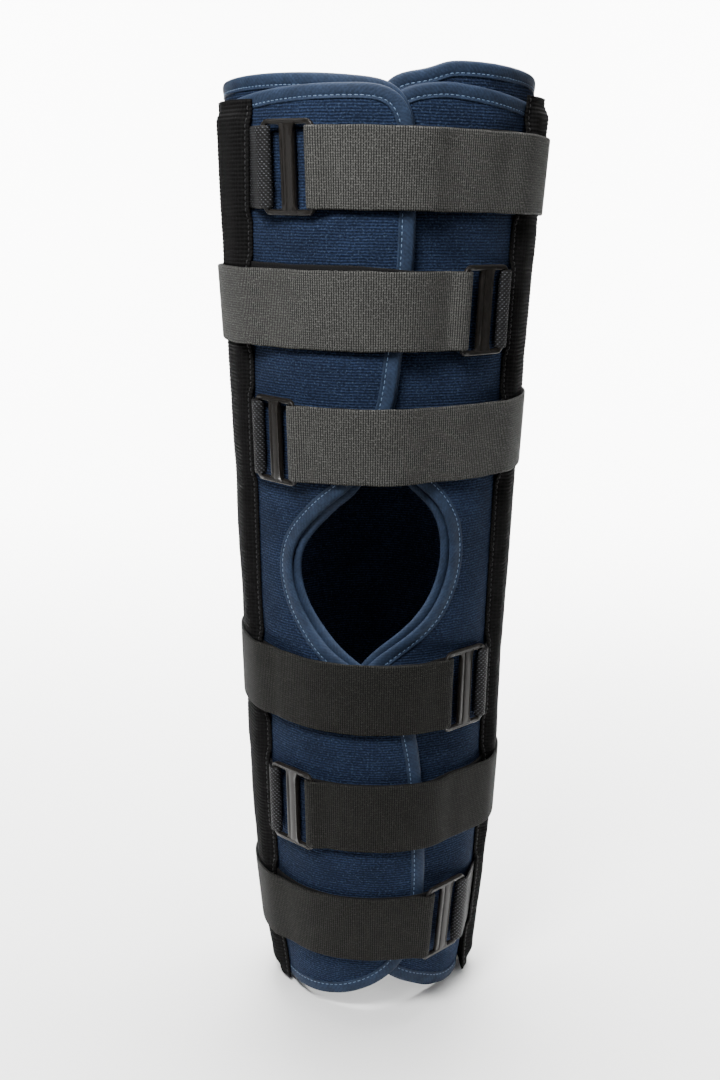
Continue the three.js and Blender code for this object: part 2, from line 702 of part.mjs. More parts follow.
function buckleGeometry() {
  const x = BUCKLE_WIDTH / 2;
  const y = BUCKLE_HEIGHT / 2;
  const r = BUCKLE_CORNER;
  const shape = new THREE.Shape();
  shape.moveTo(x - r, -y);
  shape.absarc(x - r, -y + r, r, -Math.PI / 2, 0);
  shape.absarc(x - r, y - r, r, 0, Math.PI / 2);
  shape.absarc(-x + r, y - r, r, Math.PI / 2, Math.PI);
  shape.absarc(-x + r, -y + r, r, Math.PI, 1.5 * Math.PI);
  for (const side of [-1, 1]) shape.holes.push(slotPath((side * (CENTRE_BAR + SLOT)) / 2));
  const plate = new THREE.ExtrudeGeometry(shape, {
    depth: BUCKLE_THICKNESS,
    bevelEnabled: false,
    curveSegments: 2,
  });
  plate.translate(0, 0, -BUCKLE_THICKNESS / 2);
  const ridge = new THREE.BoxGeometry(RIDGE_WIDTH, STRAP_WIDTH, RIDGE_HEIGHT + BUCKLE_THICKNESS / 2);
  ridge.translate((CENTRE_BAR - RIDGE_WIDTH) / 2 - RIDGE_EDGE, 0, (RIDGE_HEIGHT + BUCKLE_THICKNESS / 2) / 2);
  const { vertProperties, triVerts } = solidOf(plate).add(solidOf(ridge)).getMesh();
  const joined = new THREE.BufferGeometry();
  joined.setAttribute("position", new THREE.BufferAttribute(vertProperties, 3));
  joined.setIndex(new THREE.BufferAttribute(triVerts, 1));
  return joined;
}

// One strap with its buckle and tab
function addStrap(row, number) {
  const first = FIRST_STRAP * OPENING_HEIGHT + STRAP_WIDTH / 2;
  const height = row.above * THREE.MathUtils.lerp(first, LAST_STRAP * LENGTH, row.place);
  const side = Math.sign(row.buckle); // the side of the buckle
  const near = side < 0 ? "left" : "right";
  const far = side < 0 ? "right" : "left";
  const bare = (turn) => Math.max(...STRAP_LEVELS.map((level) => clothTop(turn, height + level)));
  const lying = drape(bare, height).map((top) => top + GAP);
  const lieAt = (turn) => levelAt(lying, turn);

  // The buckle spans the chord between its outer bars' inner edges, which rest on the webbing under them
  const middleTurn = turnOf(row.buckle * THIGH_WIDTH, height);
  const outside = sectionAt(height).mean + lieAt(middleTurn);
  const barSpread = THREE.MathUtils.radToDeg(BAR_EDGE / outside);
  const barRise = (turn) => lieAt(turn) + WEBBING + GAP + BUCKLE_THICKNESS / 2;
  const ends = [-1, 1].map((k) => middleTurn + k * barSpread);
  const bars = ends.map((turn) => facetPoint(turn, height, () => barRise(turn)));
  const up = facetPoint(middleTurn, height + STRAP_WIDTH / 2, () => barRise(middleTurn));
  up.sub(facetPoint(middleTurn, height - STRAP_WIDTH / 2, () => barRise(middleTurn))).normalize();
  const right = bars[1].clone().sub(bars[0]).normalize();
  const out = right.clone().cross(up).normalize();
  const upright = out.clone().cross(right);
  const frame = new THREE.Matrix4().makeBasis(right, upright, out);
  frame.setPosition(bars[0].clone().add(bars[1]).multiplyScalar(0.5));

  meshOf(`buckle_${number}`, buckleGeometry(), MOULDED_PLASTIC).applyMatrix4(frame);

  // Webbing round a bar: from under it, round its slot edge, to above its outer edge
  const round = BUCKLE_THICKNESS / 2 + GAP + WEBBING / 2;
  const held = (x, z) => {
    const edge = (y) => new THREE.Vector3(x, y, z).applyMatrix4(frame);
    return { high: edge(STRAP_WIDTH / 2), low: edge(-STRAP_WIDTH / 2) };
  };
  const bend = (k) => {
    const points = [];
    for (let i = 0; i <= BENDS; i++) {
      const angle = -Math.PI / 2 + (Math.PI * i) / BENDS;
      points.push(held(k * (BAR_EDGE - Math.cos(angle) * round), Math.sin(angle) * round));
    }
    return [...points, held(k * (BUCKLE_WIDTH / 2 + GAP), round)];
  };
  const station = (turn, rise, shift) => ({
    high: facetPoint(turn, height + shift + STRAP_WIDTH / 2, () => rise + WEBBING / 2),
    low: facetPoint(turn, height + shift - STRAP_WIDTH / 2, () => rise + WEBBING / 2),
  });
  const turnBy = (length) => THREE.MathUtils.radToDeg(length / outside);
  const between = (from, to) =>
    COLUMNS.filter((turn) => (turn - from) * (turn - to) < 0 && Math.abs(turn - from) > 1)
      .filter((turn) => Math.abs(turn - to) > 1)
      .sort((p, q) => Math.abs(p - from) - Math.abs(q - from));

  // Strap: sewn in under the far pocket, across the front, round the far bar and back over the pocket
  const farBar = ends[side < 0 ? 1 : 0];
  const root = pocketTurn(far, ROOT_UNDER_POCKET, height);
  const tail = pocketTurn(far, POCKET_WIDTH + TAIL_PAST_POCKET, height);
  const shiftAt = (turn) => row.shift * STRAP_WIDTH * step(Math.abs(turn - farBar), SHIFT_FROM, SHIFT_TO);
  const riseAt = (turn) => row.rise * STRAP_WIDTH * ((turn - farBar) / (tail - farBar)) ** 2;
  const pocketTop = (turn) => {
    const crosses = STRAP_LEVELS.some((level) => inside(pocketOutline(far), turn, height + level));
    return crosses ? pocketFloor[far](turn, height) + POCKET_THICKNESS : 0;
  };
  const onPath = (turn) => (turn - root) * (turn - farBar) < 0;
  const upperBare = (turn) => Math.max(pocketTop(turn), lieAt(turn) + (onPath(turn) ? WEBBING : -GAP));
  const upper = drape(upperBare, height).map((top) => top + GAP);
  const farFront = Math.abs(pocketTurn(far, 0, height));
  const strapLine = [root, ...between(root, farBar)].map((turn) => {
    const hidden = turn * side < 0 && Math.abs(turn) > farFront;
    return station(turn, hidden ? bare(turn) + GAP : lieAt(turn), shiftAt(turn));
  });
  strapLine.push(...bend(-side));
  const backFrom = farBar - side * turnBy(OUTER_BAR + STRAP_RETURN);
  for (const turn of [...between(backFrom, tail), tail]) {
    strapLine.push(station(turn, levelAt(upper, turn), riseAt(turn)));
  }
  meshOf(`strap_${number}`, outwards(bandGeometry(strapLine)), STRAP_WEBBING);

  // Tab: sewn in under the near pocket, out at its front edge, over the near bar and back under it
  const tabRoot = pocketTurn(near, ROOT_UNDER_POCKET, height);
  const pocketFront = pocketTurn(near, 0, height) - side * turnBy(WEBBING);
  const tabTurns = [tabRoot, ...between(tabRoot, pocketFront), pocketFront];
  const tabLine = tabTurns.map((turn) => station(turn, bare(turn) + GAP, 0));
  tabLine.push(...bend(side).reverse(), held((side * BUCKLE_WIDTH) / 2, -round));
  meshOf(`tab_${number}`, outwards(bandGeometry(tabLine)), TAB_WEBBING);
}

STRAPS.forEach((row, i) => addStrap(row, i + 1));

export default brace;
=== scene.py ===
import math

import bpy
import numpy as np
from bpy.props import FloatProperty, FloatVectorProperty, PointerProperty
from mathutils import Matrix, Vector, kdtree, noise
from mathutils.geometry import delaunay_2d_cdt


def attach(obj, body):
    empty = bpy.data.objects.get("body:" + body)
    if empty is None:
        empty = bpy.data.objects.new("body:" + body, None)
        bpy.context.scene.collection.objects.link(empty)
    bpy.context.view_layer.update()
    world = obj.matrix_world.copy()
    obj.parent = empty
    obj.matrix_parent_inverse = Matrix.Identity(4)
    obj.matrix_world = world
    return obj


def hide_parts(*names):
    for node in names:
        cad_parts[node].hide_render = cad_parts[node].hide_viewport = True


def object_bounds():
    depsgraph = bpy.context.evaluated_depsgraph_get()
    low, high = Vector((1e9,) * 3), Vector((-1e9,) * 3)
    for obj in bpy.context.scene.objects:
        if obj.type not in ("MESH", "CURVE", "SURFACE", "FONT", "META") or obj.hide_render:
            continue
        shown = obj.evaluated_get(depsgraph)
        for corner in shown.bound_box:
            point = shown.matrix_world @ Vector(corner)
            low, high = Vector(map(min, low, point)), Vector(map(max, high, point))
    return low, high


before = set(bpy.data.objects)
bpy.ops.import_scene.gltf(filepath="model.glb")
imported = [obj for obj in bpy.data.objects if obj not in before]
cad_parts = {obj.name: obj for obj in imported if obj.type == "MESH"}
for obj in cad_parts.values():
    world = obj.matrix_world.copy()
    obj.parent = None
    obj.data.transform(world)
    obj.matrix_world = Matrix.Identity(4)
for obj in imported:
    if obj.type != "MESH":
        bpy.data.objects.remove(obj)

bl_info = {
    "name": "Knee Immobilizer",
    "version": (1, 0, 0),
    "blender": (4, 5, 0),
    "location": "View3D > Sidebar > Knee Brace",
    "description": "Builds a 24-inch knee immobilizer, closed as it is worn, with its studio",
    "category": "Add Mesh",
}

# The box of the solids, before any piece replaces them
SOLIDS_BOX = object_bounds()

# Flat work is in millimetres. A place on the brace has a turn (degrees round from the front centre,
# towards +X first), a height, and a rise (distance out from the hollow).
LENGTH = 612.0  # stay pockets, end to end
THIGH_WIDTH = 194.5  # hollow at the top hem, side to side
TOP_LEAN = 6.0  # how far the top leans back, and the bottom forward
SIDE_LEAN = 2.5  # how far the top leans to the left, and the bottom to the right
PANEL_BEHIND_POCKET = 15.0
END_FLARE = 6.0  # how far the right pocket would stand off at LAST_ROW
FLARE_FROM = 0.447  # share of LENGTH below the opening's middle from which it does
LAST_ROW = 0.55  # share of LENGTH where the solids have their last row of facets
POCKET_WIDTH = 48.0
FRONT_SEAM = 2.6  # from the pocket's front edge to its row of stitches
SELVEDGE = 8.6  # and from its back edge
SLEEVE_PLY = 1.5  # thickness of the pocket's cloth at its edges
SLEEVE_END = 3.4  # and past the ends of its stay
RIB_RELIEF = 0.18  # height of its ribs
SEAM_SINK = 0.4  # how far its stitches pull it in
SLEEVE_STITCH = 3.6, 0.4  # pitch and radius of its stitches
TAPE_STITCH = 0.3  # radius of the stitches on the bias tape
TAIL_PAST_POCKET = 34.0  # strap's free end, from the back edge of the pocket that it crosses
ROOT_UNDER_POCKET = 36.0  # how far a strap or tab is sewn in under its pocket
GAP = 0.5  # clearance between pieces that lie on each other
STRAP_RETURN = 7.0  # stretch past its bar in which a strap comes down onto its under layer
LEFT_REACH = 34.5  # left flap's furthest reach past the front centre
RIGHT_REACH = 24.0  # right flap's, the other way, under the left flap
OPENING_WIDTH = 95.0
OPENING_HEIGHT = 135.0
FIRST_STRAP = 0.4425  # edge of the straps next to the opening, as a share of OPENING_HEIGHT
LAST_STRAP = 0.412  # middle of the straps furthest from it, as a share of LENGTH
RAMP = 42.0  # stretch over which the overlap builds up
OVERLAP_SUNK = 0.55  # share of the overlap's extra thickness that presses inwards
PAST_FLAP = 2.0  # a flap stays level this far past the edge of the one that it crosses
FLAPS_APART = 0.24  # share of OPENING_HEIGHT from its middle up to which the flaps stay apart
FLAPS_CROSSED = 0.45  # and from which they cross fully
SLOPE = 0.34  # steepest slope at which a taut strap leaves a step
CORNER_ROOM = 3.0  # least length of a panel's hem at its back corners, inside the binding
PER_DEGREE = 1.45  # flat millimetres drawn for a degree while a sheet is cut into triangles
STITCH_BACK = 1.8  # from the tape's inner edge to its stitches
TAPE_SWELL = 0.55  # share of the tape's thickness left where the stitches hold it
ROUNDING = [0.1, 0.2, 0.4, 0.2, 0.1]  # weights that round off a draped strap's corners

# The hollow's sections: height as a share of LENGTH, width of THIGH_WIDTH, depth of the width
SECTIONS = np.array([
    (-0.54, 0.571, 1.02),
    (-0.49, 0.61, 1.025),
    (-0.44, 0.664, 1.03),
    (-0.29, 0.745, 1.035),
    (-0.1, 0.79, 1.04),
    (0.1, 0.85, 1.05),
    (0.29, 0.918, 1.06),
    (0.51, 1.02, 1.065),
])

# Front edge of each flap of the wrap, top to bottom: where the row's height counts from, height,
# distance across, and how far the panel's edge lies behind the wrap's as a share of the binding
LEFT_EDGE = [
    ("flap", 0.498, -0.45, 0.5),
    ("flap", 0.491, 0.2, 0.28),
    ("flap", 0.468, 0.52, 0.17),
    ("flap", 0.43, 0.61, 0.17),
    ("flap", 0.32, 0.6, 0.17),
    ("flap", 0.235, 0.43, 0.17),
    ("flap", 0.165, 0.26, 0.22),
    ("opening", 0.43, -0.09, 0.45),
    ("opening", 0.3, -0.27, 0.5),
    ("opening", 0.12, -0.49, 0.5),
    ("opening", -0.03, -0.54, 0.5),
    ("opening", -0.2, -0.45, 0.5),
    ("opening", -0.36, -0.25, 0.5),
    ("opening", -0.46, -0.08, 0.33),
    ("flap", -0.135, 0.5, 0.17),
    ("flap", -0.185, 0.79, 0.17),
    ("flap", -0.25, 0.93, 0.17),
    ("flap", -0.36, 1.0, 0.17),
    ("flap", -0.425, 0.86, 0.17),
    ("flap", -0.475, 0.42, 0.17),
    ("flap", -0.503, -0.25, 0.17),
]
RIGHT_EDGE = [
    ("flap", 0.507, -1.3, 0.94),
    ("flap", 0.497, -0.25, 0.94),
    ("flap", 0.465, 0.12, 0.55),
    ("flap", 0.38, 0.25, 0.22),
    ("flap", 0.25, 0.25, 0.17),
    ("flap", 0.165, 0.12, 0.17),
    ("opening", 0.58, 0.08, 0.28),
    ("opening", 0.43, 0.21, 0.45),
    ("opening", 0.33, 0.36, 0.5),
    ("opening", 0.19, 0.45, 0.5),
    ("opening", 0.03, 0.46, 0.5),
    ("opening", -0.13, 0.38, 0.5),
    ("opening", -0.26, 0.23, 0.5),
    ("opening", -0.46, -0.08, 0.33),
    ("flap", -0.135, 0.65, 0.17),
    ("flap", -0.2, 0.95, 0.17),
    ("flap", -0.33, 1.0, 0.17),
    ("flap", -0.43, 0.6, 0.17),
    ("flap", -0.485, -0.4, 0.22),
    ("flap", -0.513, -1.6, 0.28),
]

# Hems from the flap's corner to the back: height, share of the quarter turn, panel's setback
HEMS = {
    ("left", "top"): [(0.502, 0.4, 1), (0.501, 0.75, 1.67), (0.498, 1.1, 1.67)],
    ("left", "bottom"): [(-0.514, 0.35, 0.17), (-0.522, 0.75, 0.17), (-0.522, 1.1, 0.17)],
    ("right", "top"): [(0.515, 0.3, 1.45), (0.512, 0.7, 2.1), (0.505, 1.1, 2.1)],
    ("right", "bottom"): [(-0.522, 0.55, 0.28), (-0.526, 0.8, 0.28), (-0.524, 1.1, 0.28)],
}

# Front edge of each stay pocket, top to bottom: height, distance round as a share of THIGH_WIDTH
POCKETS = {
    "left": [(0.478, 0.415), (0.2, 0.45), (-0.06, 0.445), (-0.17, 0.395), (-0.35, 0.37), (-0.522, 0.325)],
    "right": [(0.488, 0.54), (0.38, 0.485), (0.1, 0.455), (-0.2, 0.44), (-0.522, 0.405)],
}

# Straps, top to bottom: above or below the opening, place between the opening and the last strap,
# buckle's distance from the centre, climb of the free end, and shift of the under layer
STRAPS = [
    (1, 1.0, -0.26, -0.06, 0.0),
    (1, 0.5, 0.342, -0.02, 0.06),
    (1, 0.0, -0.32, 0.08, 0.0),
    (-1, 0.0, 0.313, 0.12, 0.0),
    (-1, 0.5, -0.26, 0.02, 0.0),
    (-1, 1.0, 0.241, -0.06, 0.0),
]


def linear(code):
    """An sRGB hex colour as linear red, green and blue."""
    values = [int(code[i:i + 2], 16) / 255 for i in (1, 3, 5)]
    return tuple(v / 12.92 if v <= 0.04045 else ((v + 0.055) / 1.055) ** 2.4 for v in values)


def length(name, millimetres, words):
    return FloatProperty(name=name, description=words, default=millimetres / 1000, unit="LENGTH", precision=5)


def colour(name, code, words):
    return FloatVectorProperty(
        name=name, description=words, default=linear(code), subtype="COLOR", size=3, min=0, max=1)


def angle(name, degrees, words):
    return FloatProperty(name=name, description=words, default=math.radians(degrees), subtype="ANGLE")


class KneeBraceCloth(bpy.types.PropertyGroup):
    """Sizes and colours of the padded cloth, its binding and the stay pockets."""

    ply: length("Ply", 3.3, "Thickness of the padded cloth")
    binding: length("Binding", 9.0, "Width of the bias tape over each cut edge")
    tape: length("Tape", 0.65, "Thickness of the bias tape")
    stitch: length("Stitch", 3.6, "From one stitch to the next")
    rib: length("Rib", 1.8, "From one rib of the knit to the next")
    pocket: length("Pocket", 4.6, "Thickness of a stay pocket over its stay")
    pocket_rib: length("Pocket rib", 2.5, "From one rib of the pocket's cloth to the next")
    cloth_colour: colour("Cloth", "#1f2a40", "Brushed navy knit")
    tape_colour: colour("Tape colour", "#222f44", "Bias tape")
    thread_colour: colour("Thread", "#5f7592", "Top stitching")
    pocket_colour: colour("Pocket colour", "#0c0c0c", "Ribbed black sleeve")


class KneeBraceWebbing(bpy.types.PropertyGroup):
    """Sizes and colours of the straps and tabs."""

    width: length("Width", 48.5, "Width of the webbing")
    thickness: length("Thickness", 1.6, "Thickness of the webbing")
    pick: length("Pick", 1.5, "From one thread of the weave to the next")
    strap_colour: colour("Thigh strap", "#3e3e3c", "Webbing of the three upper straps")
    # painted shade: the three lower straps get a darker copy of the webbing's colour, standing in for the
    # weaker light on the lower part of the brace
    lower_strap_shade_colour: colour("Calf strap", "#1f1f1d", "Webbing of the three lower straps, blacker")
    pile_colour: colour("Pile", "#0d0d0e", "Loop side of the straps, turned out on the under layer")
    tab_colour: colour("Tab", "#0c0c0d", "Tab webbing")
    fleck_colour: colour("Fleck", "#8f939b", "Thread tops of the tab's twill")


class KneeBraceBuckle(bpy.types.PropertyGroup):
    """Sizes and colour of the double-slot buckle."""

    thickness: length("Thickness", 2.6, "Thickness of the frame")
    outer_bar: length("Outer bar", 4.6, "Width of a bar that webbing turns round")
    slot: length("Slot", 10.0, "Width of a slot")
    centre_bar: length("Centre bar", 11.0, "Width of the centre bar")
    rail: length("Rail", 3.4, "Width of the rails above and below the webbing")
    clearance: length("Clearance", 0.4, "Room at each edge of the webbing")
    corner: length("Corner", 6.5, "Outside corner radius")
    plastic_colour: colour("Plastic", "#151311", "Moulded plastic")


class KneeBraceStudio(bpy.types.PropertyGroup):
    """The studio round the brace."""

    floor_colour: colour("Floor", "#f8f8f7", "Plain pale floor")
    lens: length("Lens", 46.67, "Focal length on a sensor 36 mm long")
    distance: length("Distance", 958.0, "From the brace's axis to the camera")
    camera_height: length("Camera height", 230.0, "Of the camera above the opening's middle")
    tilt: angle("Tilt", 13.4, "Of the camera, downwards")
    roll: angle("Roll", 0.9, "Of the camera")


# Lines and numbers

def unit(rows):
    """Each row divided by its length."""
    return rows / np.linalg.norm(rows, axis=-1, keepdims=True)


def run_along(steps):
    """Distances along a line, from the steps between its points."""
    return np.concatenate([[0], np.cumsum(np.linalg.norm(steps, axis=1))])


def rounded(values):
    """Values of a row with their corners rounded off."""
    return np.convolve(np.pad(values, 2, mode="edge"), ROUNDING, "valid")


def smooth(value, start, end):
    """Smooth step from 0 to 1 as value goes from start to end."""
    share = np.clip((np.asarray(value, float) - start) / (end - start), 0, 1)
    return share * share * (3 - 2 * share)


# The hollow and what lies round it

def section_value(column, height):
    """Smooth value of one column of the sections at some heights."""
    at = SECTIONS[:, 0]
    values = SECTIONS[:, column]
    share = np.clip(np.asarray(height, float) / LENGTH, at[0], at[-1])
    i = np.clip(np.searchsorted(at, share, side="right") - 1, 0, len(at) - 2)
    low = np.maximum(np.arange(len(at)) - 1, 0)
    high = np.minimum(np.arange(len(at)) + 1, len(at) - 1)
    slopes = (values[high] - values[low]) / (at[high] - at[low])
    span = at[i + 1] - at[i]
    t = (share - at[i]) / span
    rise = t * t * (3 - 2 * t)
    bend = span * t * (1 - t) * ((1 - t) * slopes[i] - t * slopes[i + 1])
    return values[i] * (1 - rise) + values[i + 1] * rise + bend


def section(height):
    """Half width, half depth and mean radius of the hollow at some heights."""
    a = THIGH_WIDTH / 2 * section_value(1, height)
    b = a * section_value(2, height)
    return a, b, np.sqrt((a * a + b * b) / 2)


def placed(turn, height, rise):
    """Places at a rise over the hollow, as rows of x, y and z."""
    height = np.asarray(height, float)
    a, b, mean = section(height)
    u = np.radians(turn)
    t = u - (a * a - b * b) / (8 * mean * mean) * np.sin(2 * u)
    nx, ny = b * np.sin(t), -a * np.cos(t)
    size = np.hypot(nx, ny)
    top = 2 * height / LENGTH
    x = a * np.sin(t) - SIDE_LEAN * top + nx / size * rise
    y = TOP_LEAN * top - b * np.cos(t) + ny / size * rise
    return np.stack(np.broadcast_arrays(x, y, height), -1)


def turn_of(distance, height):
    return np.degrees(distance / section(height)[2])


def length_of(turn, height):
    return np.radians(turn) * section(height)[2]


def clear_of_opening(height):
    """0 beside the opening, where the flaps stay apart, and 1 where they cross."""
    return smooth(np.abs(height) / OPENING_HEIGHT, FLAPS_APART, FLAPS_CROSSED)


class Layers:
    """Heights of the stacked plies over the hollow."""

    def __init__(self, cloth, webbing):
        self.ply = cloth.ply * 1000
        self.binding = cloth.binding * 1000
        self.webbing = webbing.thickness * 1000
        self.overlap = 2 * (self.ply + GAP)
        self.pocket_floor = 2 * self.ply + 4 * GAP + self.webbing

    def left_lift(self, turn, height):
        start = -RIGHT_REACH - PAST_FLAP - RAMP
        ramp = smooth(length_of(turn, height), start, start + RAMP)
        return self.overlap * (1 - OVERLAP_SUNK) * ramp * clear_of_opening(height)

    def right_sink(self, turn, height):
        start = LEFT_REACH + PAST_FLAP
        ramp = 1 - smooth(length_of(turn, height), start, start + RAMP)
        return -self.overlap * OVERLAP_SUNK * ramp * clear_of_opening(height)

    def flared_sink(self, turn, height):
        """Sink of the right pocket, whose lower end stands off the hollow."""
        share = np.clip((-np.asarray(height) / LENGTH - FLARE_FROM) / (LAST_ROW - FLARE_FROM), 0, 1)
        return self.right_sink(turn, height) + END_FLARE * share

    def wrap_floor(self, turn, height):
        return np.where(turn > 180, self.left_lift(turn - 360, height), self.right_sink(turn, height))

    def left_floor(self, turn, height):
        return self.left_lift(turn, height) + self.ply + GAP

    def right_floor(self, turn, height):
        return self.right_sink(turn, height) + self.ply + GAP


def strap_height(row, width):
    """Height of a strap's middle."""
    first = FIRST_STRAP * OPENING_HEIGHT + width / 2
    return row[0] * (first + (LAST_STRAP * LENGTH - first) * row[1])


# Flat outlines, as rows of turn and height

def spline(points, spacing=2.0):
    """Smooth flat line through points, cut into pieces of about the spacing."""
    points = np.asarray(points, float)
    n = len(points)
    line = []
    for i in range(n - 1):
        p0, p1, p2, p3 = (points[min(max(j, 0), n - 1)] for j in (i - 1, i, i + 1, i + 2))
        count = max(2, int(np.hypot(*(p2 - p1)) / spacing))
        t = np.arange(count)[:, None] / count
        v0, v1 = (p2 - p0) / 2, (p3 - p1) / 2
        cubic, square = 2 * p1 - 2 * p2 + v0 + v1, -3 * p1 + 3 * p2 - 2 * v0 - v1
        line.append(cubic * t ** 3 + square * t ** 2 + v0 * t + p1)
    line.append(points[-1:])
    return np.concatenate(line)


def flap_line(name, share, binding):
    """One flap's edge from the back of the top hem, round the front, to the back of the bottom hem."""
    edge, reach, side = (LEFT_EDGE, LEFT_REACH, -1) if name == "left" else (RIGHT_EDGE, RIGHT_REACH, 1)

    def hem(row):
        height = row[0] * LENGTH
        return side * row[1] * math.pi / 2 * float(section(height)[2]), height, row[2]

    rows = [hem(row) for row in reversed(HEMS[name, "top"])]
    for kind, height, across, setback in edge:
        if kind == "flap":
            rows.append((-side * across * reach, height * LENGTH, setback))
        else:
            rows.append((across * OPENING_WIDTH, height * OPENING_HEIGHT, setback))
    rows += [hem(row) for row in HEMS[name, "bottom"]]
    rows = np.array(rows)
    along = unit(np.gradient(rows[:, :2], axis=0))
    inwards = side * np.stack([along[:, 1], -along[:, 0]], 1)
    line = spline(rows[:, :2] - inwards * (share * binding * rows[:, 2:]))
    return np.stack([turn_of(line[:, 0], line[:, 1]), line[:, 1]], 1)


def pocket_turn(name, back, height):
    """Turn of a pocket's front edge, moved back by a distance, at some heights."""
    side = -1 if name == "left" else 1
    rows = np.array(POCKETS[name])[::-1]
    at = rows[:, 0] * LENGTH
    turns = side * turn_of(rows[:, 1] * THIGH_WIDTH + back, at)
    rounding = np.linspace(-18, 18, 7)
    return np.mean([np.interp(height + d, at, turns) for d in rounding], axis=0)


def panel_outline(name, layers):
    edge = flap_line(name, 1, layers.binding)
    side = -1 if name == "left" else 1
    back = POCKET_WIDTH + PANEL_BEHIND_POCKET
    corner_to = back - layers.binding - 2 * GAP - CORNER_ROOM
    before = side * edge[:, 0] < np.abs(pocket_turn(name, corner_to, edge[:, 1]))
    front = edge[before]
    heights = np.linspace(front[-1, 1], front[0, 1], 240)
    line = np.stack([pocket_turn(name, back, heights), heights], 1)
    return np.concatenate([front, line])


def wrap_outline(layers):
    right = flap_line("right", 0, layers.binding)
    left = flap_line("left", 0, layers.binding) + (360, 0)
    return np.concatenate([right, left[::-1]])


def flat_steps(line):
    """Steps from each point of a closed line to the next, measured round the hollow."""
    step = np.roll(line, -1, 0) - line
    return np.stack([length_of(step[:, 0], line[:, 1]), step[:, 1]], 1)


def evenly(line, spacing, rounds):
    """A closed line with even spacing, its corners rounded off."""
    for _ in range(2):
        at = run_along(flat_steps(line))
        closed = np.concatenate([line, line[:1]])
        places = np.linspace(0, at[-1], int(at[-1] / spacing), endpoint=False)
        line = np.stack([np.interp(places, at, closed[:, k]) for k in (0, 1)], 1)
        for _ in range(rounds):
            line = (np.roll(line, 1, 0) + 2 * line + np.roll(line, -1, 0)) / 4
    return line


def turning(line):
    """Positive for a closed line that goes round anticlockwise."""
    following = np.roll(line, -1, 0)
    return np.sum(line[:, 0] * following[:, 1] - following[:, 0] * line[:, 1])


def inward_normals(line):
    """Unit normals of a closed line towards its inside, as millimetres round and up."""
    step = flat_steps(line)
    along = unit(step + np.roll(step, 1, 0))
    return np.sign(turning(line)) * np.stack([-along[:, 1], along[:, 0]], 1)


def moved_in(line, normals, distance):
    """A line moved towards its inside by a distance in millimetres."""
    per_degree = length_of(1, line[:, 1])
    return line + np.stack([normals[:, 0] * distance / per_degree, normals[:, 1] * distance], 1)


def contains(line, turn, height):
    """Whether a closed line goes round a place."""
    p, q = line, np.roll(line, -1, 0)
    crosses = (p[:, 1] > height) != (q[:, 1] > height)
    p, q = p[crosses], q[crosses]
    at = p[:, 0] + (height - p[:, 1]) / (q[:, 1] - p[:, 1]) * (q[:, 0] - p[:, 0])
    return np.count_nonzero(turn < at) % 2 == 1


# Relief of the cloth

def free_of_straps(height, width):
    """1 between the straps, 0 under them."""
    away = np.min([np.abs(height - strap_height(row, width)) for row in STRAPS], axis=0)
    return smooth(away, width / 2 - 3, width / 2 + 10)


def free_of_pockets(turn, height):
    turn = (turn + 180) % 360 - 180
    free = np.ones_like(turn)
    for name, side in (("left", -1), ("right", 1)):
        past = side * length_of(turn, height) - np.abs(length_of(pocket_turn(name, 0, height), height))
        middle = np.abs(past - POCKET_WIDTH / 2)
        free *= smooth(middle, POCKET_WIDTH / 2 - 2, POCKET_WIDTH / 2 + 14)
    return free


def rumple(turn, height, seed):
    """Soft unevenness of padded cloth, about from -1 to 1: swells some 46 by 30 mm, and finer ones."""
    s = length_of(turn, height)
    wide = [noise.noise(Vector((a / 46, b / 30, seed))) for a, b in zip(s, height)]
    fine = [noise.noise(Vector((a / 17, b / 11, seed + 9))) for a, b in zip(s, height)]
    return np.array(wide) + 0.35 * np.array(fine)


# Meshes

def facing_out(vertices, faces):
    """Faces turned so that they enclose a positive volume."""
    a, b, c = vertices[faces[:, 0]], vertices[faces[:, 1]], vertices[faces[:, 2]]
    volume = np.einsum("ij,ij->", a, np.cross(b, c))
    if faces.shape[1] == 4:
        d = vertices[faces[:, 3]]
        volume += np.einsum("ij,ij->", a, np.cross(c, d))
    return faces if volume > 0 else faces[:, ::-1]


def merged(parts):
    """One set of vertices, faces, lay and finish numbers from several."""
    vertices, faces, lays, finishes, count = [], [], [], [], 0
    for v, f, lay, finish in parts:
        vertices.append(v)
        faces += (facing_out(v, f) + count).tolist()
        lays.append(lay)
        finishes += [finish] * len(f)
        count += len(v)
    return np.concatenate(vertices), faces, np.concatenate(lays), finishes


def make_piece(name, parts, finishes, node):
    """A Blender object in metres from parts in millimetres, riding on the brace."""
    vertices, faces, lay, numbers = merged(parts)
    mesh = bpy.data.meshes.new(name)
    mesh.from_pydata((vertices / 1000).tolist(), [], faces)
    mesh.attributes.new("lay", "FLOAT_VECTOR", "POINT").data.foreach_set("vector", lay.ravel())
    for finish in finishes:
        mesh.materials.append(finish)
    mesh.polygons.foreach_set("material_index", numbers)
    mesh.polygons.foreach_set("use_smooth", [True] * len(faces))
    mesh.update()
    piece = bpy.data.objects.new(name, mesh)
    bpy.context.scene.collection.objects.link(piece)
    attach(piece, "root")
    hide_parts(*node)
    return piece


def split(faces):
    """Triangles from quadrilaterals, without the empty ones."""
    halves = np.concatenate([faces[:, [0, 1, 2]], faces[:, [0, 2, 3]]])
    return halves[(halves[:, 0] != halves[:, 2]) & (halves[:, 1] != halves[:, 2])]


